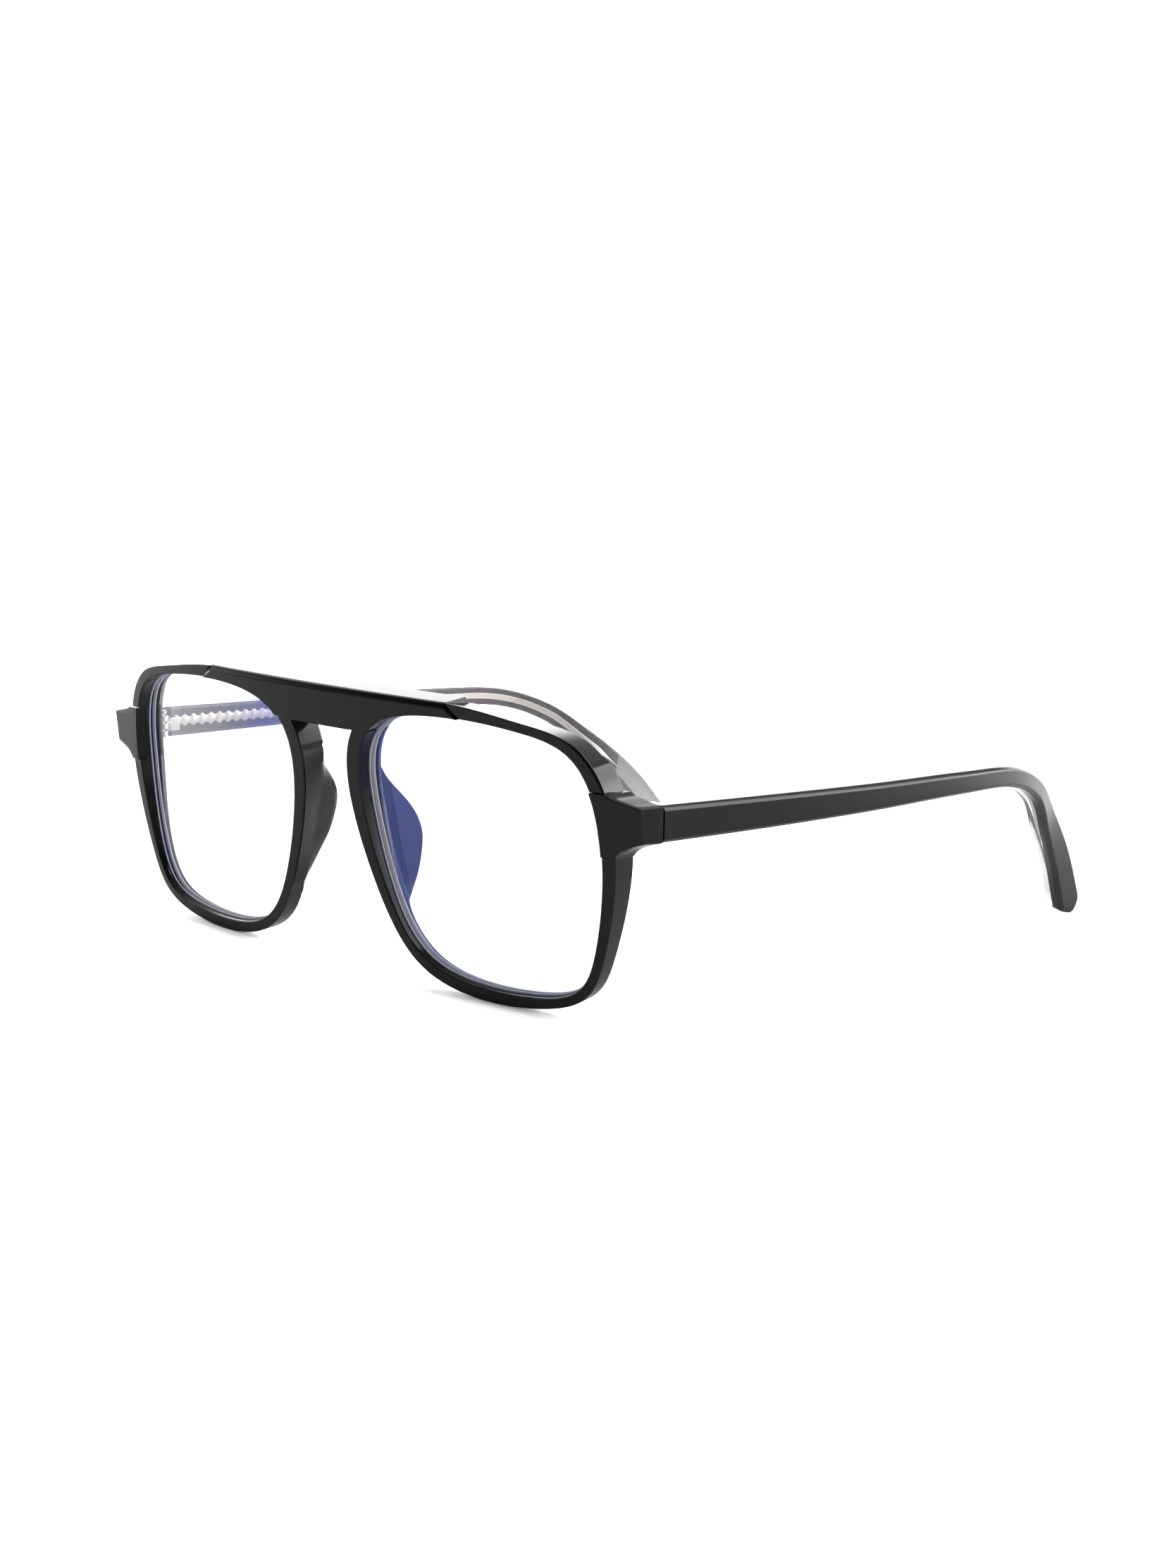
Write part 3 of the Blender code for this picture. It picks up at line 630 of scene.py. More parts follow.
def place_piece(name, mesh_data, finish, body, replaced, sharp=32.0):
    """Makes the object, gives it its finish, hangs it on its body's empty and hides the solid that it
    stands for.
    """
    mesh = bpy.data.meshes.new(name)
    mesh_data.to_mesh(mesh)
    mesh_data.free()
    mesh.materials.append(finish)
    mesh.shade_smooth()
    mesh.set_sharp_from_angle(angle=math.radians(sharp))
    piece = bpy.data.objects.new(name, mesh)
    bpy.context.scene.collection.objects.link(piece)
    even = piece.modifiers.new("even_shading", "WEIGHTED_NORMAL")
    even.keep_sharp = True
    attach(piece, body)
    if replaced:
        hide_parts(replaced)
    print(f"{name}: {len(mesh.polygons)} faces")
    return piece


def on_body(body, side_name, kind, mesh_data, finish, stands_for, sharp=32.0):
    """Places one side's piece. The solid that it stands for has the same side in its name."""
    replaced = f"{stands_for}_{side_name}" if stands_for else None
    return place_piece(f"{kind}_{side_name}", mesh_data, finish, body, replaced, sharp)


print("points closer than", TOUCHING / MM, "mm are merged")

# %% [markdown]
# ## The rims
# Each rim is a C that starts under the bar at the nose, runs down the nose side, along the bottom
# and up the temple side, and ends at the slanted end of the bar. Its section has a groove for the
# lens. Its nose side and its top lean in towards the rear. The end piece lies in a step of the
# rim's face. The sections are turned level there, so that the step has level walls and the seams
# come out straight.

# %% Rims
END_PIECE_SEAMS = (28.5, 38.6)
END_PIECE_LAP = 1.5
LENS_THICKNESS = 1.2
GROOVE_DEPTH = 0.9
NASAL_DRAFTS = [
    (6.0, 0.0), (10.0, 0.25), (14.0, 1.0), (18.0, 1.7), (22.0, 2.1), (26.0, 2.2), (30.0, 1.9), (33.0, 1.4),
    (36.0, 0.9), (37.3, 0.8), (37.5, 0.15), (43.0, 0.0),
]
TOP_DRAFT = 0.9
BAR_TOP = 49.95
BAR_FLAT_END = 31.6
BAR_END_SLOPE = 0.958
NOSE_GAP_HALF = 7.1
NOSE_GAP_TOP = 42.85
NASAL_SEAM_RISE = 0.04
RIM_START = -8.3
RIM_END = 4.5
RIM_SECTIONS = 260
UNCUT = -9.0  # a cleared depth in front of the whole section, so nothing is moved
STEP_LIP = 0.09  # the depth of the small chamfer where the face turns into the step, in mm
CUT_ROUND = 0.00012  # the small round on an end that is cut off, in metres


def level_opening_place(place):
    """The place on the opening at the same height as the outline's, near the end piece."""
    height = outline_at(place)[1]
    low, high = place - 0.8, place + 0.8
    for _ in range(30):
        middle = (low + high) / 2
        if opening_at(middle)[1] < height:
            low = middle
        else:
            high = middle
    return (low + high) / 2


def rim_pair(place):
    """The opening's and the outline's point of one section."""
    outer = outline_at(place)
    level = smooth_step(18.0, 24.0, outer[1]) * smooth_step(44.5, 40.5, outer[1]) if outer[0] > 50 else 0.0
    inner_place = place
    if level:
        inner_place += level * (level_opening_place(place) - place)
    return opening_at(inner_place), outer


def place_at_height(height):
    """Where the outline passes a height on the temple side."""
    low, high = -0.5, 2.0
    for _ in range(40):
        middle = (low + high) / 2
        if outline_at(middle)[1] < height:
            low = middle
        else:
            high = middle
    return (low + high) / 2


def groove_walls(v):
    """The depths of the lens groove's front and rear walls."""
    half = LENS_THICKNESS / 2
    return groove_centre(v) - half - SEAM, groove_centre(v) + half + SEAM


def nasal_draft(v):
    """How far the nasal wall has leaned away from the nose at the rim's rear."""
    return along_rows(NASAL_DRAFTS, v)[0]


def rim_section(side, place, cleared):
    """The section at a place. Everything in front of the cleared depth is moved back to it."""
    inner, outer = rim_pair(place)
    reach = Vector(outer) - Vector(inner)
    width = reach.length
    away = reach.normalized()
    v = (inner[1] + outer[1]) / 2
    depth = rim_depth(v)
    front_wall, rear_wall = groove_walls(v)
    draft = nasal_draft(v) * smooth_step(17.0, 13.0, outer[0])
    draft += TOP_DRAFT * smooth_step(0.1, 0.6, away.y) * smooth_step(20.0, 26.0, outer[0])
    corner = smooth_step(55.0, 60.5, outer[0]) * smooth_step(34.0, 39.0, outer[1])
    rear_width = width - draft
    facet = 0.12 + 0.25 * corner
    rear_round = 0.4 if draft < 0.2 else 0.1
    section = rounded([
        (0.0, 0.0, 0.3), (0.0, front_wall, 0.08),
        (GROOVE_DEPTH, front_wall, 0.0), (GROOVE_DEPTH, rear_wall, 0.0),
        (0.0, rear_wall, 0.08), (0.0, depth, 0.35),
        (rear_width, depth, rear_round), (width, facet, 0.16), (width - facet * 0.8, 0.0, 0.16),
    ])
    return [
        on_front(side, inner[0] + away.x * out, inner[1] + away.y * out, max(back, cleared))
        for out, back in section
    ]


def rim_stations():
    """Places along the rim with the depth cleared there, with the walls of the end piece's step."""
    low = place_at_height(END_PIECE_SEAMS[0] - SEAM)
    high = place_at_height(END_PIECE_SEAMS[1] + SEAM)
    step = END_PIECE_LAP + SEAM
    edge = 0.012
    stations = [
        (low - edge, UNCUT), (low, STEP_LIP), (low, step),
        (high, step), (high, STEP_LIP), (high + edge, UNCUT),
    ]
    for index in range(RIM_SECTIONS + 1):
        place = RIM_START + (RIM_END - RIM_START) * index / RIM_SECTIONS
        if low < place < high:
            stations.append((place, step))
        elif place < low - edge or place > high + edge:
            stations.append((place, UNCUT))
    order = {UNCUT: 0, STEP_LIP: 1, step: 2}
    middle = (low + high) / 2
    return sorted(stations, key=lambda s: (s[0], order[s[1]] if s[0] < middle else -order[s[1]]))


def bar_end_height(x):
    return BAR_TOP - BAR_END_SLOPE * (x - BAR_FLAT_END)


def seam_height(x):
    return NOSE_GAP_TOP + NASAL_SEAM_RISE * (x - NOSE_GAP_HALF)


def plane_through(side, places, away_from):
    """A plane through three points of the front, as a point and a normal that points to away_from."""
    one, two, three = (on_front(side, *place) for place in places)
    normal = (two - one).cross(three - one).normalized()
    target = on_front(side, *away_from)
    return one, normal if (target - one).dot(normal) > 0 else -normal


def make_rim(side_name, side):
    """A rim, cut off under the slanted end of the bar and under its nose side."""
    mesh_data = skin([rim_section(side, place, cleared) for place, cleared in rim_stations()])
    gap = SEAM * 1.4
    cuts = (
        ([(x, bar_end_height(x) + gap, depth) for x, depth in ((30.0, 0.0), (35.0, 0.0), (32.0, 5.0))],
         (30.0, 47.0, 0.0), lambda p: 20.0 < side * p.x / MM < 48.0 and p.z > 0.035),
        ([(x, seam_height(x) - SEAM, depth) for x, depth in ((7.0, 0.0), (16.0, 0.0), (10.0, 5.0))],
         (10.0, 48.0, 0.0), lambda p: side * p.x / MM < 19.0 and p.z > 0.02),
    )
    for places, cut_away, near_cut in cuts:
        through, outward = plane_through(side, places, cut_away)
        slice_off(mesh_data, near_cut, through, outward, CUT_ROUND)
    bmesh.ops.recalc_face_normals(mesh_data, faces=mesh_data.faces)
    return on_body("front", side_name, "rim_shell", mesh_data, black_plastic, "rim")


for side_name, side in SIDES.items():
    make_rim(side_name, side)

# %% [markdown]
# ## The brow bar
# The bar closes both rims and bridges the nose in one piece. It stands a little proud of the rims,
# so its ends show as slanted steps. A wide chamfer along its top front edge catches the light. Over
# each lens the bar carries the last stretch of the groove, so its section has a notch there.

# %% Brow bar
BAR_PROUD = 0.4
BAR_DEPTH = 5.0
BAR_TIP = 34.3
BAR_SECTION_GAP = 0.45


def opening_top_rows():
    """Heights of the opening's upper edge against x."""
    points = [opening_at(place) for place in ROUND_TRIP]
    return sorted(point for point in points if point[1] > 30.0 and 11.0 < point[0] < 50.0)


OPENING_TOP = opening_top_rows()


def bar_bottom(x):
    if x <= 12.0:
        return seam_height(max(x, NOSE_GAP_HALF))
    return max(seam_height(x), along_rows(OPENING_TOP, x)[0])


def bar_section(side, x):
    low = bar_bottom(x)
    high = max(min(BAR_TOP, bar_end_height(x)), low + 0.02)
    tall = high - low
    chamfer = min(0.9, 0.4 * tall)
    notch = GROOVE_DEPTH * smooth_step(12.2, 13.4, x) * smooth_step(0.6, 1.6, tall)
    front_wall, rear_wall = groove_walls(low)
    edge = min(0.22, 0.2 * tall)
    corners = [
        (low, -BAR_PROUD, edge), (high - chamfer, -BAR_PROUD, edge),
        (high, 0.7 * chamfer - BAR_PROUD, edge), (high, BAR_DEPTH, 1.6 * edge),
        (low, BAR_DEPTH, 1.6 * edge), (low, rear_wall, 0.0), (low + notch, rear_wall, 0.0),
        (low + notch, front_wall, 0.0), (low, front_wall, 0.0),
    ]
    return [on_front(side, x, v, depth) for v, depth in rounded(corners)]


def bar_places():
    """Where the bar's sections stand: evenly, and closer together at its corners."""
    places = []
    x = 0.0
    while x < BAR_TIP:
        places.append(x)
        x += 0.12 if abs(x - NOSE_GAP_HALF) < 0.6 or x > BAR_FLAT_END - 0.5 else BAR_SECTION_GAP
    return sorted(set(places + [NOSE_GAP_HALF, BAR_FLAT_END, BAR_TIP]))


def make_brow_bar():
    half = bar_places()
    stations = [(-1, x) for x in reversed(half[1:])] + [(1, x) for x in half]
    mesh_data = skin([bar_section(side, x) for side, x in stations])
    return place_piece("brow_bar_shell", mesh_data, black_plastic, "front", "brow_bar")


make_brow_bar()

# %% [markdown]
# ## The end pieces
# An end piece is a block at the outer corner of the rim. A thin plate of it laps over the rim's face
# and the block behind it reaches back to the temple. Its underside sweeps down to the rim in a
# hollow curve and its top rises to the rim in a short slope. It is skinned as a stack of level
# sections, each an L: the plate and the block.

# %% End pieces
JOINT_Y = FRONT_Y + 5.6
END_PIECE_PROUD = 0.35
END_PIECE_OUTLINE = [
    (28.5, 64.95), (29.2, 65.5), (30.0, 66.6), (30.8, 68.6), (31.3, 70.1), (31.7, 70.5),
    (34.2, 70.5), (36.7, 70.5), (37.1, 70.2), (37.5, 68.2), (37.9, 66.2), (38.2, 64.8), (38.6, 63.9),
]
END_PIECE_FLARE = 0.6
END_PIECE_WIDEST = 70.5
FACE_STEPS = 8


def side_rows(outline):
    """x of an outline's temple-side edge against height."""
    points = [outline(k / FINE_STEPS) for k in range(-2 * FINE_STEPS, 3 * FINE_STEPS)]
    return sorted((v, x) for x, v in points if x > 52.0 and 12.0 < v < 46.0)


OPENING_SIDE = side_rows(opening_at)
RIM_SIDE = side_rows(outline_at)


def end_piece_section(side, v, x_outer):
    """One level section. The face's third corner only shows the second one which way to turn."""
    x_inner = along_rows(OPENING_SIDE, v)[0] + 0.02
    x_rim = along_rows(RIM_SIDE, v)[0] + SEAM
    rim_edge = END_PIECE_OUTLINE[0][1]
    out = max(x_outer - x_rim, 0.0)
    flare = END_PIECE_FLARE * max(x_outer - rim_edge, 0.0) / (END_PIECE_WIDEST - rim_edge)
    x_far = max(x_outer, x_rim) if out else x_outer
    height = v * math.cos(FRONT_TILT)
    facet = min(0.9, 0.3 + 0.25 * out)
    front = -END_PIECE_PROUD
    face = rounded([(x_inner, front, 0.2), (x_far, front, facet), (x_far, front + 2.0, 0.0)], FACE_STEPS)
    two_corners = face[:2 * (FACE_STEPS + 1)]
    points = [on_front(side, x, v, depth) for x, depth in two_corners]
    lap = on_front(side, x_inner, v, END_PIECE_LAP)
    inside = on_front(side, min(x_rim, x_far), v, END_PIECE_LAP)
    if out:
        rear_outer = Vector((side * (x_far + flare), JOINT_Y - SEAM, height)) * MM
        rear_inner = Vector((side * (x_rim - 0.9), JOINT_Y - SEAM, height)) * MM
        rear_inner.x = side * min(abs(rear_inner.x), abs(rear_outer.x))
    else:
        rear_outer = on_front(side, x_far, v, END_PIECE_LAP)
        rear_inner = inside
    return points + [rear_outer, rear_inner, inside, lap]


def make_end_piece(side_name, side):
    rows = sorted(through_rows(END_PIECE_OUTLINE, 8))
    mesh_data = skin([end_piece_section(side, v, x) for v, x in rows])
    return on_body(
        "front", side_name, "end_piece_shell", mesh_data, black_plastic, "end_piece",
    )


for side_name, side in SIDES.items():
    make_end_piece(side_name, side)

# %% [markdown]
# ## The lenses
# A lens is a slightly domed disc, cut to the shape of the opening and a little larger, so that it
# snaps into the groove. Rings that shrink towards the middle make its two faces. Its cut edge is
# ground matt and shows as a pale line inside the rim, so each face gets a narrow ground bevel.

# %% Lenses
LENS_DOME = 1.0
LENS_SECTIONS = 200
EDGE_BAND = 0.3
BAND_DEPTH = 0.14
LENS_RINGS = [0.0, 0.06, 0.14, 0.24, 0.36, 0.5, 0.64, 0.78, 0.9, 1.0]  # parts of the way out


def grown_opening(amount, count):
    """The opening moved outwards by an amount."""
    points = []
    for index in range(count):
        place = CORNERS * index / count
        here = opening_at(place)
        ahead = Vector(opening_at(place + 0.02)) - Vector(opening_at(place - 0.02))
        ahead.normalize()
        points.append((here[0] + ahead.y * amount, here[1] - ahead.x * amount))
    return points


def lens_ring(side, part, lift):
    """One ring of a lens face, at a part of the way from the middle to the edge."""
    edge = grown_opening(GROOVE_DEPTH - SEAM, LENS_SECTIONS)
    middle_x = sum(x for x, _ in edge) / len(edge)
    middle_v = sum(v for _, v in edge) / len(edge)
    ring = []
    for x, v in edge:
        x_here = middle_x + (x - middle_x) * part
        v_here = middle_v + (v - middle_v) * part
        depth = groove_centre(v_here) - LENS_DOME * (1 - part**2) + lift
        ring.append(on_front(side, x_here, v_here, depth))
    return ring


def make_lens(side_name, side):
    half = LENS_THICKNESS / 2
    rings = [lens_ring(side, part, -half) for part in LENS_RINGS]
    rings += [lens_ring(side, part, half) for part in reversed(LENS_RINGS)]
    lens = skin(rings)
    return on_body("front", side_name, "coated_lens", lens, coated_lens, "lens", 60.0)


def make_lens_band(side_name, side, face):
    """The ground bevel of one lens face, 1 for the rear and -1 for the front."""
    outer = grown_opening(GROOVE_DEPTH - SEAM - 0.1, LENS_SECTIONS)
    inner = grown_opening(-EDGE_BAND, LENS_SECTIONS)
    surface = LENS_THICKNESS / 2
    sections = []
    for (x_out, v_out), (x_in, v_in) in zip(outer, inner):
        here, there = groove_centre(v_in), groove_centre(v_out)
        sections.append([
            on_front(side, x_in, v_in, here + face * (surface + 0.01)),
            on_front(side, x_in, v_in, here + face * (surface - BAND_DEPTH)),
            on_front(side, x_out, v_out, there + face * (surface - BAND_DEPTH)),
            on_front(side, x_out, v_out, there + face * (surface + 0.07)),
        ])
    kind = "lens_front_bevel" if face < 0 else "lens_rear_bevel"
    band = skin(sections, ring=True)
    return on_body("front", side_name, kind, band, ground_edge, None)


for side_name, side in SIDES.items():
    make_lens(side_name, side)
    make_lens_band(side_name, side, -1)
    make_lens_band(side_name, side, 1)

# %% [markdown]
# ## The nose pads
# The pads are moulded wings behind the nose side of the rims. They grow out of the rim low down,
# lean away from the nose towards their rear edge and run out again near the bridge. Their sections
# follow a smooth curve, so the wing has no corners, with a small round along its rear edge.

# %% Nose pads
PAD_REAR_EDGE = [
    (10.5, 14.8, 2.6), (12.0, 14.1, 3.5), (14.5, 13.7, 5.4), (17.0, 13.4, 7.2), (20.0, 12.7, 9.0),
    (23.0, 12.1, 10.1), (25.5, 11.2, 10.3), (28.0, 10.1, 9.7), (30.5, 9.1, 8.3), (33.0, 8.5, 6.6),
    (35.5, 8.4, 5.3), (37.2, 8.0, 5.0),
]
PAD_EDGE_WIDTH = 0.5
PAD_BASE_WIDTH = 1.7
PAD_CURVE = 12
PAD_SWELL = 0.12
PAD_INSET = 0.25  # the pad's lower end draws back into the rim
PAD_INSET_SPAN = (13.0, 10.5)


def nasal_rows():
    """x of the outline's nose side against height."""
    points = [outline_at(place) for place in ROUND_TRIP]
    return sorted((v, x) for x, v in points if x < 20.0 and v < 44.0)


NASAL_SIDE = nasal_rows()


def pad_section(side, v, x_rear, depth_rear):
    """The nose side runs in one sweep from just behind the rim's front edge to the wing's rear edge."""
    x_rim = along_rows(NASAL_SIDE, v)[0]
    base = rim_depth(v)
    rear = max(depth_rear, base + 0.05) if v > 13.0 else depth_rear
    inset = PAD_INSET * smooth_step(*PAD_INSET_SPAN, v)
    front = Vector((x_rim - 0.01 + inset, 0.35))
    wall = Vector((x_rim + nasal_draft(v) * 0.94 + inset, base - 2 * inset))
    edge = Vector((x_rear, rear))
    outside = []
    for step in range(PAD_CURVE + 1):
        t = step / PAD_CURVE
        place = front.lerp(wall, 2 * t) if t < 0.5 else wall.lerp(edge, 2 * t - 1)
        swell = smooth_step(10.0, 15.0, v) * (PAD_SWELL * math.sin(math.pi * t) + 0.03)
        outside.append(place - Vector((swell, 0.0)))
    inside = rounded([
        (x_rear + 0.05, rear + 0.12, 0.1), (x_rear + PAD_EDGE_WIDTH, rear - 0.05, 0.25),
        (x_rim + PAD_BASE_WIDTH + 1.2, base - 0.3, 0.4), (x_rim + 1.6, base - 0.8, 0.0),
    ])
    return [on_front(side, x, v, depth) for x, depth in outside + inside]


def make_nose_pad(side_name, side):
    sections = [pad_section(side, *row) for row in through_rows(PAD_REAR_EDGE, 8)]
    return on_body(
        "front", side_name, "nose_pad_wing", skin(sections), pad_plastic, "nose_pad", 50.0,
    )


for side_name, side in SIDES.items():
    make_nose_pad(side_name, side)

# %% [markdown]
# ## The hinges
# A spectacle hinge has three knuckles on one screw: two on the front and one on the temple. Each
# knuckle is a small rectangle spun round the screw's axis, which leaves the bore open, and a leaf
# ties it to the plastic. The measured model says where the axis is.

# %% Hinge helpers
KNUCKLE_RADIUS = 1.2
KNUCKLE_BORE = 0.55
KNUCKLE_HEIGHT = 1.2
KNUCKLE_STEP = 1.5
joint_place = Vector(frame["joints"][0]["pos_m"]) / MM
HINGE_X = abs(joint_place.x)
HINGE_Y = joint_place.y
HINGE_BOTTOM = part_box("front_hinge_left")[0].z / MM
HINGE_TOP = HINGE_BOTTOM + 2 * KNUCKLE_STEP + KNUCKLE_HEIGHT
REST_TOE_IN = {"left": 0.0, "right": 1.8}
print("hinge axis, mm:", round(HINGE_X, 2), round(HINGE_Y, 2))


def turn_in(mesh_data, side_name, side):
    """Turns a temple's piece about its hinge to where the measured temple stands at rest."""
    turn = Matrix.Rotation(side * math.radians(REST_TOE_IN[side_name]), 3, "Z")
    hinge = Vector((side * HINGE_X, HINGE_Y, 0.0)) * MM
    bmesh.ops.rotate(mesh_data, cent=hinge, matrix=turn, verts=mesh_data.verts)
    return mesh_data


def spun(profile, x, y, steps=40):
    """A closed profile of (radius, height) corners, spun round an upright axis."""
    mesh_data = bmesh.new()
    verts = [mesh_data.verts.new(Vector((x + radius, y, z)) * MM) for radius, z in profile]
    edges = [mesh_data.edges.new((verts[k - 1], verts[k])) for k in range(len(verts))]
    bmesh.ops.spin(
        mesh_data, geom=verts + edges, cent=Vector((x, y, 0)) * MM, axis=(0, 0, 1), angle=math.tau,
        steps=steps, use_merge=True,
    )
    bmesh.ops.remove_doubles(mesh_data, verts=mesh_data.verts, dist=TOUCHING)
    bmesh.ops.recalc_face_normals(mesh_data, faces=mesh_data.faces)
    return mesh_data


def knuckle(side, low):
    """One knuckle, with rounded lips."""
    high = low + KNUCKLE_HEIGHT
    lip = 0.12
    return spun([
        (KNUCKLE_BORE, low), (KNUCKLE_RADIUS - lip, low), (KNUCKLE_RADIUS, low + lip),
        (KNUCKLE_RADIUS, high - lip), (KNUCKLE_RADIUS - lip, high), (KNUCKLE_BORE, high),
    ], side * HINGE_X, HINGE_Y)


def plate(side, low, high, edge=0.12):
    """A small block between two corners of the left side, with rounded edges."""
    mesh_data = bmesh.new()
    bmesh.ops.create_cube(mesh_data, size=1.0)
    bmesh.ops.scale(mesh_data, vec=[(b - a) * MM for a, b in zip(low, high)], verts=mesh_data.verts)
    middle = Vector([(a + b) / 2 * MM for a, b in zip(low, high)])
    middle.x *= side
    bmesh.ops.translate(mesh_data, vec=middle, verts=mesh_data.verts)
    bmesh.ops.bevel(
        mesh_data, geom=mesh_data.edges[:], offset=edge * MM, offset_type="OFFSET", segments=2, profile=0.5,
        affect="EDGES", material=-1,
    )
    return mesh_data


def as_tool(mesh_data):
    """A bmesh as a hidden object, for a Boolean."""
    mesh = bpy.data.meshes.new("tool")
    mesh_data.to_mesh(mesh)
    mesh_data.free()
    tool = bpy.data.objects.new("tool", mesh)
    bpy.context.scene.collection.objects.link(tool)
    return tool


def combined(first, others, operation="UNION"):
    """Joins or cuts solids with exact Booleans, and gives the result as a bmesh."""
    body = as_tool(first)
    for other in others:
        tool = as_tool(other)
        step = body.modifiers.new("step", "BOOLEAN")
        step.operation = operation
        step.object = tool
        step.solver = "EXACT"
        graph = bpy.context.evaluated_depsgraph_get()
        result = bpy.data.meshes.new_from_object(body.evaluated_get(graph))
        body.modifiers.clear()
        body.data = result
        bpy.data.objects.remove(tool)
    mesh_data = bmesh.new()
    mesh_data.from_mesh(body.data)
    bpy.data.objects.remove(body)
    return mesh_data


# %% Hinges and screws
FRONT_LEAF_X = (63.6, 66.9)
FRONT_ARM_X = (64.75, 66.7)
TEMPLE_LEAF_X = (66.35, 67.4)
TEMPLE_ARM_X = (66.0, 66.9)
ARM_INSET = 0.01  # an arm stops this short of its knuckle's upper and lower face
LEAF_REACH = 0.7  # the temple's leaf reaches this far above and below its knuckle
SLOT_HALF = 0.14


def knuckle_arm(side, xs, ys, low):
    """The arm that ties a knuckle to its leaf."""
    high = low + KNUCKLE_HEIGHT
    return plate(side, (xs[0], ys[0], low + ARM_INSET), (xs[1], ys[1], high - ARM_INSET))


def make_front_hinge(side_name, side):
    leaf_end = HINGE_Y - KNUCKLE_RADIUS - 0.3
    leaf = plate(
        side, (FRONT_LEAF_X[0], JOINT_Y - 0.1, HINGE_BOTTOM), (FRONT_LEAF_X[1], leaf_end, HINGE_TOP),
    )
    parts = []
    for low in (HINGE_BOTTOM, HINGE_BOTTOM + 2 * KNUCKLE_STEP):
        parts.append(knuckle_arm(side, FRONT_ARM_X, (JOINT_Y + 0.5, HINGE_Y - 0.75), low))
        parts.append(knuckle(side, low))
    solid = combined(leaf, parts)
    return on_body(
        "front", side_name, "hinge_front_half", solid, hinge_steel, "front_hinge",
    )


def make_temple_hinge(side_name, side):
    low = HINGE_BOTTOM + KNUCKLE_STEP
    high = low + KNUCKLE_HEIGHT
    leaf = plate(
        side, (TEMPLE_LEAF_X[0], HINGE_Y + 1.7, low - LEAF_REACH),
        (TEMPLE_LEAF_X[1], HINGE_Y + 4.6, high + LEAF_REACH), 0.2,
    )
    arm = knuckle_arm(side, TEMPLE_ARM_X, (HINGE_Y + 0.75, HINGE_Y + 2.6), low)
    solid = turn_in(combined(leaf, [arm, knuckle(side, low)]), side_name, side)
    return on_body(
        f"temple_{side_name}", side_name, "hinge_temple_half", solid, hinge_steel,
        "temple_hinge",
    )


def make_screw(side_name, side):
    """A cheese-head screw: a spun profile with a slot cut across its head."""
    head = HINGE_TOP + 0.3
    x = side * HINGE_X
    body = spun([
        (0.0, HINGE_BOTTOM - 0.2), (0.36, HINGE_BOTTOM - 0.2), (0.45, HINGE_BOTTOM - 0.1), (0.45, head),
        (0.9, head), (0.95, head + 0.06), (0.95, head + 0.4), (0.82, head + 0.55), (0.0, head + 0.58),
    ], x, HINGE_Y)
    slot = plate(
        1, (x - 2.0, HINGE_Y - SLOT_HALF, head + 0.32), (x + 2.0, HINGE_Y + SLOT_HALF, head + 1.0), 0.02,
    )
    solid = combined(body, [slot], "DIFFERENCE")
    return on_body(
        "front", side_name, "hinge_slotted_screw", solid, screw_steel, "hinge_screw",
    )


for side_name, side in SIDES.items():
    make_front_hinge(side_name, side)
    make_temple_hinge(side_name, side)
    make_screw(side_name, side)

# %% [markdown]
# ## The temples
# A temple follows a long curve: straight back from the hinge, a bend over the ear, and a tip that
# widens. Its section is square to that curve at every station, and it twists in the tip, so that
# the outer face turns a little towards the front there. The black layer and the clear layer are
# skinned with the same stations, so they meet along the whole length. The clear plastic sinks a
# hair's width into the black, because the layers are bonded and no air shows between them.

# %% Temple stations
TEMPLE_PATH = [
    (71.1, 5.9, 34.0, 5.9), (72.3, 30.0, 33.6, 5.4), (73.0, 55.0, 33.3, 4.7), (72.8, 78.5, 33.2, 4.0),
    (71.0, 95.4, 32.3, 3.7), (67.8, 107.4, 28.2, 3.8), (64.2, 116.2, 20.6, 4.5), (60.9, 124.6, 12.0, 5.2),
    (58.8, 130.2, 4.3, 5.6), (58.1, 132.2, 0.9, 5.6),
]
TIP_TWIST = math.radians(24.0)
TIP_TWIST_SPAN = (100.0, 126.0)
TEMPLE_STEPS = 16
SHELL_THICKNESS = 1.7
TIP_THICKENING = 0.5
THICKENING_SPAN = (24.0, 8.0)  # how far before the end it starts and is full
LINER_END = 3.8
BOND = 0.02
TIP_ROUND = 3.3
TIP_ROUND_STEPS = 22


def temple_stations():
    """Places along the outer face: point, outward and upward directions, width and length so far."""
    rows = through_rows(TEMPLE_PATH, TEMPLE_STEPS)
    points = [Vector((x, FRONT_Y + y, z)) for x, y, z, _ in rows]
    stations = []
    travelled = 0.0
    for index, point in enumerate(points):
        ahead = (points[min(index + 1, len(points) - 1)] - points[max(index - 1, 0)]).normalized()
        if index == 0:
            ahead = Vector((0.0, 1.0, 0.0))
        outward = ahead.cross(Vector((0.0, 0.0, 1.0))).normalized()
        upward = outward.cross(ahead)
        if index:
            travelled += (point - points[index - 1]).length
        twist = TIP_TWIST * smooth_step(*TIP_TWIST_SPAN, travelled)
        turned_out = outward * math.cos(twist) - upward * math.sin(twist)
        turned_up = upward * math.cos(twist) + outward * math.sin(twist)
        stations.append((point, turned_out, turned_up, rows[index][3], travelled))
    return stations


STATIONS = temple_stations()
TEMPLE_LENGTH = STATIONS[-1][4]
print("temple length along its curve, mm:", round(TEMPLE_LENGTH, 1))


def station_at(travelled):
    """The station at a length along the temple."""
    for low, high in zip(STATIONS, STATIONS[1:]):
        if travelled <= high[4]:
            part = (travelled - low[4]) / (high[4] - low[4])
            break
    directions = [low[k].lerp(high[k], part) for k in range(3)]
    return (*directions, low[3] + (high[3] - low[3]) * part, travelled)


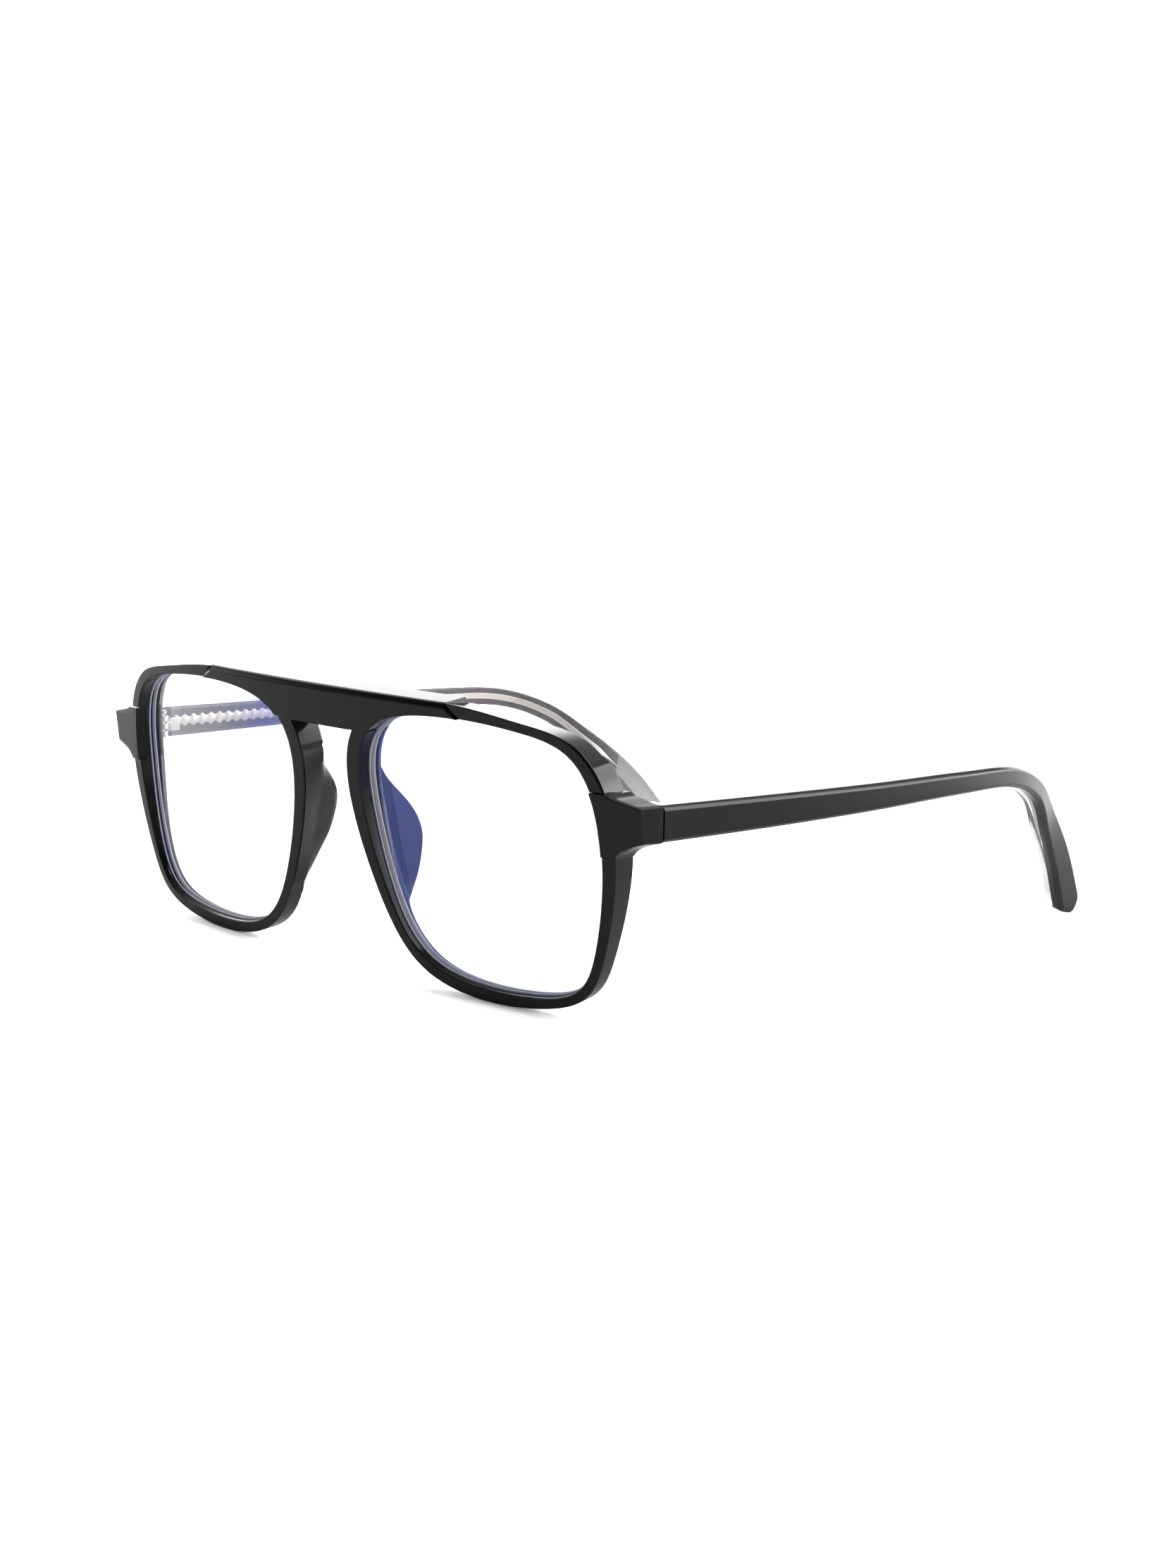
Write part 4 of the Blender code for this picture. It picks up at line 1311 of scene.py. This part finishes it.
def tip_places():
    """Lengths for the skins: the stations, and many more where the tip turns round."""
    start = TEMPLE_LENGTH - TIP_ROUND
    places = [station[4] for station in STATIONS if station[4] < start]
    for step in range(TIP_ROUND_STEPS + 1):
        places.append(start + TIP_ROUND * math.sin(math.pi / 2 * step / TIP_ROUND_STEPS))
    return places


def rounded_width(width, travelled):
    """The width, which shrinks like a half circle at the very end."""
    left = TEMPLE_LENGTH - travelled
    radius = width / 2
    if left >= radius:
        return width
    return max(width * math.sqrt(max(1 - (1 - left / radius) ** 2, 0.0)), 0.25 * width)


def section_at(side, travelled, points):
    """A section of points (inwards, up), set square to the temple at a length along it."""
    point, outward, upward, _, _ = station_at(travelled)
    row = []
    for inwards, up in points:
        place = point - outward * inwards + upward * up
        row.append(Vector((side * place.x, place.y, place.z)) * MM)
    return row


def temple_skin(side, section):
    """A layer of the temple from a section that is given the width and the length so far."""
    sections = []
    for travelled in tip_places():
        width = rounded_width(station_at(travelled)[3], travelled)
        sections.append(section_at(side, travelled, section(width, travelled)))
    return skin(sections)


# %% Black and clear layers
def shell_thickness(travelled):
    """The black layer thickens in the tip."""
    start, full = (TEMPLE_LENGTH - before_end for before_end in THICKENING_SPAN)
    return SHELL_THICKNESS + TIP_THICKENING * smooth_step(start, full, travelled)


def shell_section(width, travelled):
    half = width / 2
    edge = min(0.75, 0.36 * half)
    inside = shell_thickness(travelled)
    return rounded([
        (0.0, -half + edge * 0.8, 0.3), (0.0, half - edge * 0.8, 0.3), (edge, half, 0.3),
        (inside, half, 0.0), (inside, -half, 0.0), (edge, -half, 0.3),
    ])


def liner_section(width, travelled):
    half = width / 2 - 0.01
    outside = shell_thickness(travelled) - BOND
    return rounded([
        (outside, -half, 0.0), (outside, half, 0.0), (LINER_END, half, 0.55),
        (LINER_END, -half, 0.55),
    ], 4)


def make_temple_layers(side_name, side):
    for kind, section, finish, slot, stands_for in (
        ("temple_outer_layer", shell_section, temple_black, "temple_black", "temple_shell"),
        ("temple_clear_layer", liner_section, clear_plastic, "clear_plastic", "temple_liner"),
    ):
        layer = turn_in(temple_skin(side, section), side_name, side)
        on_body(f"temple_{side_name}", side_name, kind, layer, finish, stands_for)


for side_name, side in SIDES.items():
    make_temple_layers(side_name, side)

# %% [markdown]
# ### The core wire
# A metal strip runs down the clear layer and keeps the temple's bend. Near the hinge it is stamped
# with a zigzag edge so that the plastic grips it. Towards the tip it is drawn down to a plain wire
# with a point. It is one more skin, with its sections set closely where the teeth are.

# %% Core wires
WIRE_START = 2.0
WIRE_END = TEMPLE_LENGTH - 18.0
ZIGZAG_END = 36.0
ZIGZAG_PITCH = 2.1
ZIGZAG_SPACING = 0.25  # between the sections where the teeth are
PLAIN_SECTIONS = 110
WIRE_DEPTH = 2.4  # from the temple's outer face to the middle of the wire
WIRE_THICKNESS = 0.7


def wire_half_width(travelled):
    """Half the wire's width: teeth near the hinge, then plain, and a point at its end."""
    if travelled < ZIGZAG_END:
        phase = (travelled / ZIGZAG_PITCH) % 1.0
        tooth = 1 - abs(2 * phase - 1)
        return 0.72 + 0.42 * smooth_step(0.15, 0.85, tooth)
    plain = 0.95 - 0.35 * smooth_step(ZIGZAG_END, ZIGZAG_END + 25.0, travelled)
    return plain * smooth_step(WIRE_END + 0.3, WIRE_END - 7.0, travelled)


def wire_places():
    """Lengths for the wire's sections, close together where the teeth are."""
    count = int((ZIGZAG_END - WIRE_START) / ZIGZAG_SPACING)
    places = [WIRE_START + ZIGZAG_SPACING * k for k in range(count)]
    plain = WIRE_END - ZIGZAG_END
    return places + [ZIGZAG_END + plain * k / PLAIN_SECTIONS for k in range(PLAIN_SECTIONS + 1)]


def make_core_wire(side_name, side):
    sections = []
    for travelled in wire_places():
        half = max(wire_half_width(travelled), 0.05)
        thick = min(WIRE_THICKNESS, 1.4 * half)
        near, far = WIRE_DEPTH - thick / 2, WIRE_DEPTH + thick / 2
        corners = [(near, -half, 0.15), (near, half, 0.15), (far, half, 0.15), (far, -half, 0.15)]
        sections.append(section_at(side, travelled, rounded(corners)))
    wire = turn_in(skin(sections), side_name, side)
    return on_body(
        f"temple_{side_name}", side_name, "core_wire_strip", wire, core_metal, "core_wire",
    )


for side_name, side in SIDES.items():
    make_core_wire(side_name, side)
